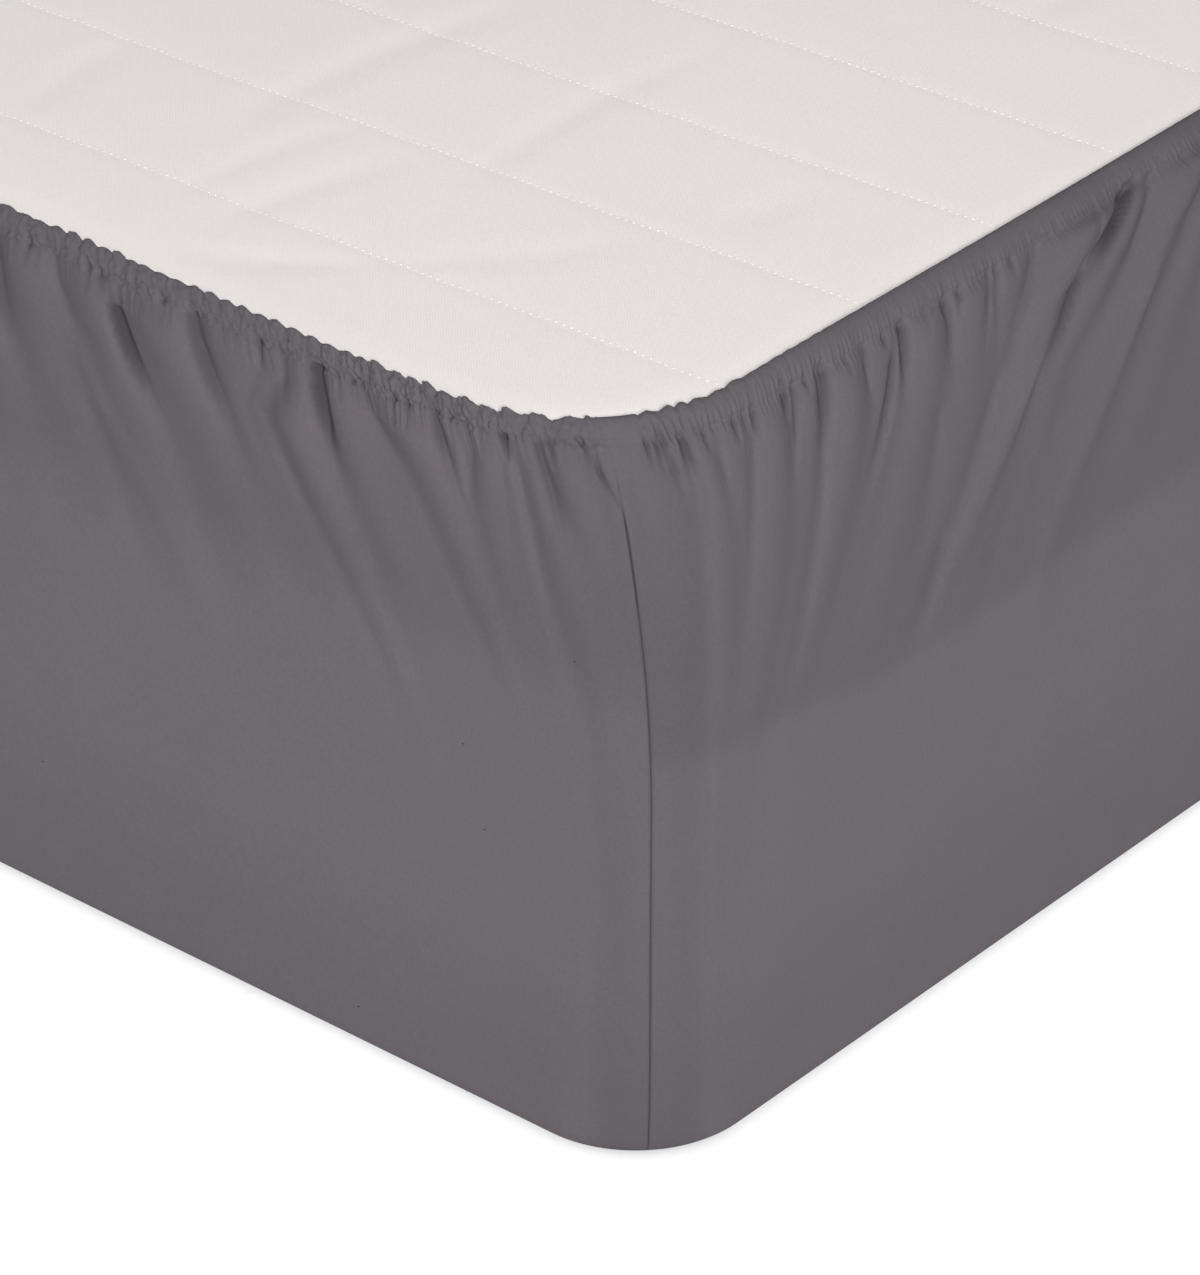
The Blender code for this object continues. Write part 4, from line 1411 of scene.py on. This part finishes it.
def add_cover_sides(piece, border):
    """Skirt rows from the face's border down to the floor, and the underside."""
    points = np.concatenate(piece.points)
    coords = points[border, :2]
    gaps = np.linalg.norm(coords[:, None, :] - COVER_LINE[None, :, :2], axis=2)
    nearest = np.argmin(gaps, axis=1)
    levels = [inner_line(COVER_RING, depth, gap)[nearest] for depth, gap in SKIRT]
    low_levels = [(height, 0.0) for height in SKIRT_HEIGHTS] + [edge_turn(turn) for turn in SKIRT_TURNS]
    levels += [COVER_RING.lower(height, inset + COVER_GAP)[nearest] for height, inset in low_levels]
    last = border
    for level in levels:
        level[:, 2] = np.maximum(level[:, 2], FLOOR_CLEARANCE)
        row = piece.add_row(level, np.stack([level[:, 0] + level[:, 1], level[:, 2]], axis=1))
        piece.join(np.append(last, last[0]), np.append(row, row[0]))
        last = row
    piece.faces.append(last[::-1].tolist())


COVER_RING = Ring(lambda wall, t: np.full(t.shape, COVER_SPACING))
COVER_LINE = inner_line(COVER_RING, 0.0, COVER_GAP)


def build_cover_stitches():
    """Rows of stitching across the mattress, from hem to hem."""
    right, left = (COVER_LINE[COVER_RING.wall == index] for index in (0, 2))
    starts, ends = [], []
    for row in stitch_rows():
        left_end, right_end = (np.interp(row, line[:, 1], line[:, 0]) for line in (left[::-1], right))
        x = np.arange(left_end + COVER_STITCH_MARGIN, right_end - COVER_STITCH_STEP, COVER_STITCH_STEP)
        edge = np.minimum(x - left_end, right_end - x)
        slow, fast = STITCH_WANDER
        wander = row + slow * np.sin(x / 0.017) + fast * np.sin(x / 0.0061 + row * 40.0)
        height = cover_height(x, np.full(x.shape, row), edge) + COVER_STITCH_RADIUS * COVER_STITCH_LIFT
        starts.append(np.stack([x, wander, height], axis=1))
        ends.append(np.stack([x + COVER_STITCH_LENGTH, wander, height], axis=1))
    starts, ends = np.concatenate(starts), np.concatenate(ends)
    up = np.broadcast_to([0.0, 0.0, 1.0], starts.shape)
    return stitches("mattress_stitches", starts, ends, up, COVER_STITCH_RADIUS, CREAM_THREAD)


# The stage
FLOOR_SIZE = 12.0
FLOOR_DROP = 0.0004
FLOOR_GLOW = 1.03
# A painted shadow on the floor at the foot of the walls: its depth, its reach and where it starts
FLOOR_SHADE = 0.42
FLOOR_SHADE_REACH = 0.0055
FLOOR_SHADE_START = 0.65
SKY_STRENGTH = 0.28
Light = namedtuple("Light", "name place target size power colour")
LIGHTS = (
    Light("key softbox", (4.05, -4.57, 2.88), (0.40, -0.90, 0.15), 1.45, 436.0, (1.0, 0.995, 0.99)),
    Light("top softbox", (0.15, -0.45, 3.2), (0.15, -0.45, 0.3), 1.6, 20.0, (1.0, 0.995, 0.985)),
)


def floor_glow(tree):
    """Brightness of the floor: a little less in a narrow painted shadow at the foot of the walls."""
    def vector_node(operation, inputs):
        """A node that works on vectors."""
        return add_node(tree, "ShaderNodeVectorMath", inputs, operation=operation)

    place = add_node(tree, "ShaderNodeTexCoord").outputs["Object"]
    radius = CORNER_RADIUS + FOOT_ROUNDING
    straight = (SHEET_WIDTH / 2 - radius, SHEET_LENGTH / 2 - radius, 1.0)
    folded = vector_node("ABSOLUTE", {0: place}).outputs[0]
    past = vector_node("SUBTRACT", {0: folded, 1: straight}).outputs[0]
    past = vector_node("MAXIMUM", {0: past, 1: (0.0, 0.0, 0.0)}).outputs[0]
    away = vector_node("LENGTH", {0: past}).outputs["Value"]
    away = math_node(tree, "SUBTRACT", away, radius - FLOOR_SHADE_START * EDGE_RADIUS)
    shade = math_node(tree, "EXPONENT", math_node(tree, "MULTIPLY", away, -1.0 / FLOOR_SHADE_REACH))
    return math_node(tree, "SUBTRACT", FLOOR_GLOW, math_node(tree, "MULTIPLY", shade, FLOOR_SHADE))


def build_floor():
    """A plain pale ground just under the sheet."""
    size = FLOOR_SIZE
    mesh = bpy.data.meshes.new("floor")
    corners = [(-size, -size, 0), (size, -size, 0), (size, size, 0), (-size, size, 0)]
    mesh.from_pydata(corners, [], [(0, 1, 2, 3)])
    floor = bpy.data.objects.new("floor", mesh)
    floor.location.z = -FLOOR_DROP
    bpy.context.scene.collection.objects.link(floor)
    material, tree, shader = new_material("floor")
    shader.inputs["Base Color"].default_value = (0.15, 0.15, 0.15, 1.0)
    shader.inputs["Roughness"].default_value = 0.9
    shader.inputs["Specular IOR Level"].default_value = 0.1
    shader.inputs["Emission Color"].default_value = (1.0, 1.0, 1.0, 1.0)
    tree.links.new(floor_glow(tree), shader.inputs["Emission Strength"])
    mesh.materials.append(material)


def add_area_light(row):
    """A round softbox that faces its target."""
    light = bpy.data.lights.new(row.name, "AREA")
    light.shape = "DISK"
    light.size = row.size
    light.energy = row.power
    light.color = row.colour
    thing = bpy.data.objects.new(row.name, light)
    thing.location = row.place
    thing.rotation_euler = (Vector(row.target) - Vector(row.place)).to_track_quat("-Z", "Y").to_euler()
    bpy.context.scene.collection.objects.link(thing)


def build_lights():
    """Soft studio light: a pale sky and the softboxes."""
    world = bpy.data.worlds.new("studio")
    world.use_nodes = True
    sky = world.node_tree.nodes["Background"]
    sky.inputs["Color"].default_value = (1.0, 0.995, 1.0, 1.0)
    sky.inputs["Strength"].default_value = SKY_STRENGTH
    bpy.context.scene.world = world
    for row in LIGHTS:
        add_area_light(row)


def build_camera():
    """Puts the foot of the front corner at its pixel, at the photograph's distance and direction."""
    azimuth, elevation = math.radians(CAMERA_AZIMUTH), math.radians(CAMERA_ELEVATION)
    level = math.cos(elevation)
    back = Vector((math.sin(azimuth) * level, -math.cos(azimuth) * level, math.sin(elevation)))
    right = Vector((math.cos(azimuth), math.sin(azimuth), 0.0))
    up = back.cross(right)
    focal = CAMERA_LENS / CAMERA_SENSOR * PHOTO_HEIGHT
    off_x = (CORNER_PIXEL[0] - PHOTO_WIDTH / 2) / focal
    off_y = (CORNER_PIXEL[1] - PHOTO_HEIGHT / 2) / focal
    ray = (right * off_x - up * off_y - back).normalized()
    corner_x = MIDDLE_X + SHEET_WIDTH / 2 - CORNER_INSET
    corner = Vector((corner_x, MIDDLE_Y - SHEET_LENGTH / 2 + CORNER_INSET, 0.0))
    data = bpy.data.cameras.new("camera")
    data.lens = CAMERA_LENS
    data.sensor_width = CAMERA_SENSOR
    data.sensor_fit = "AUTO"
    camera = bpy.data.objects.new("camera", data)
    camera.location = corner - ray * CAMERA_DISTANCE
    camera.rotation_euler = (-back).to_track_quat("-Z", "Y").to_euler()
    bpy.context.scene.collection.objects.link(camera)
    bpy.context.scene.camera = camera
    bpy.context.scene.view_settings.view_transform = "Standard"


build_camera()
build_floor()
build_lights()
front_sheet, back_sheet = build_sheet()
hem_stitches = build_hem_stitches()
cover = build_cover()
cover_stitches = build_cover_stitches()

for piece, slot in ((front_sheet, "grey_cloth"), (back_sheet, "grey_cloth"), (hem_stitches, "grey_cloth"),
                    (cover, "cream_ticking"), (cover_stitches, "cream_ticking")):
    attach(piece, "root")
for piece in (front_sheet, back_sheet, hem_stitches):
    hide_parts("fitted_sheet")
for piece in (cover, cover_stitches):
    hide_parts("mattress")
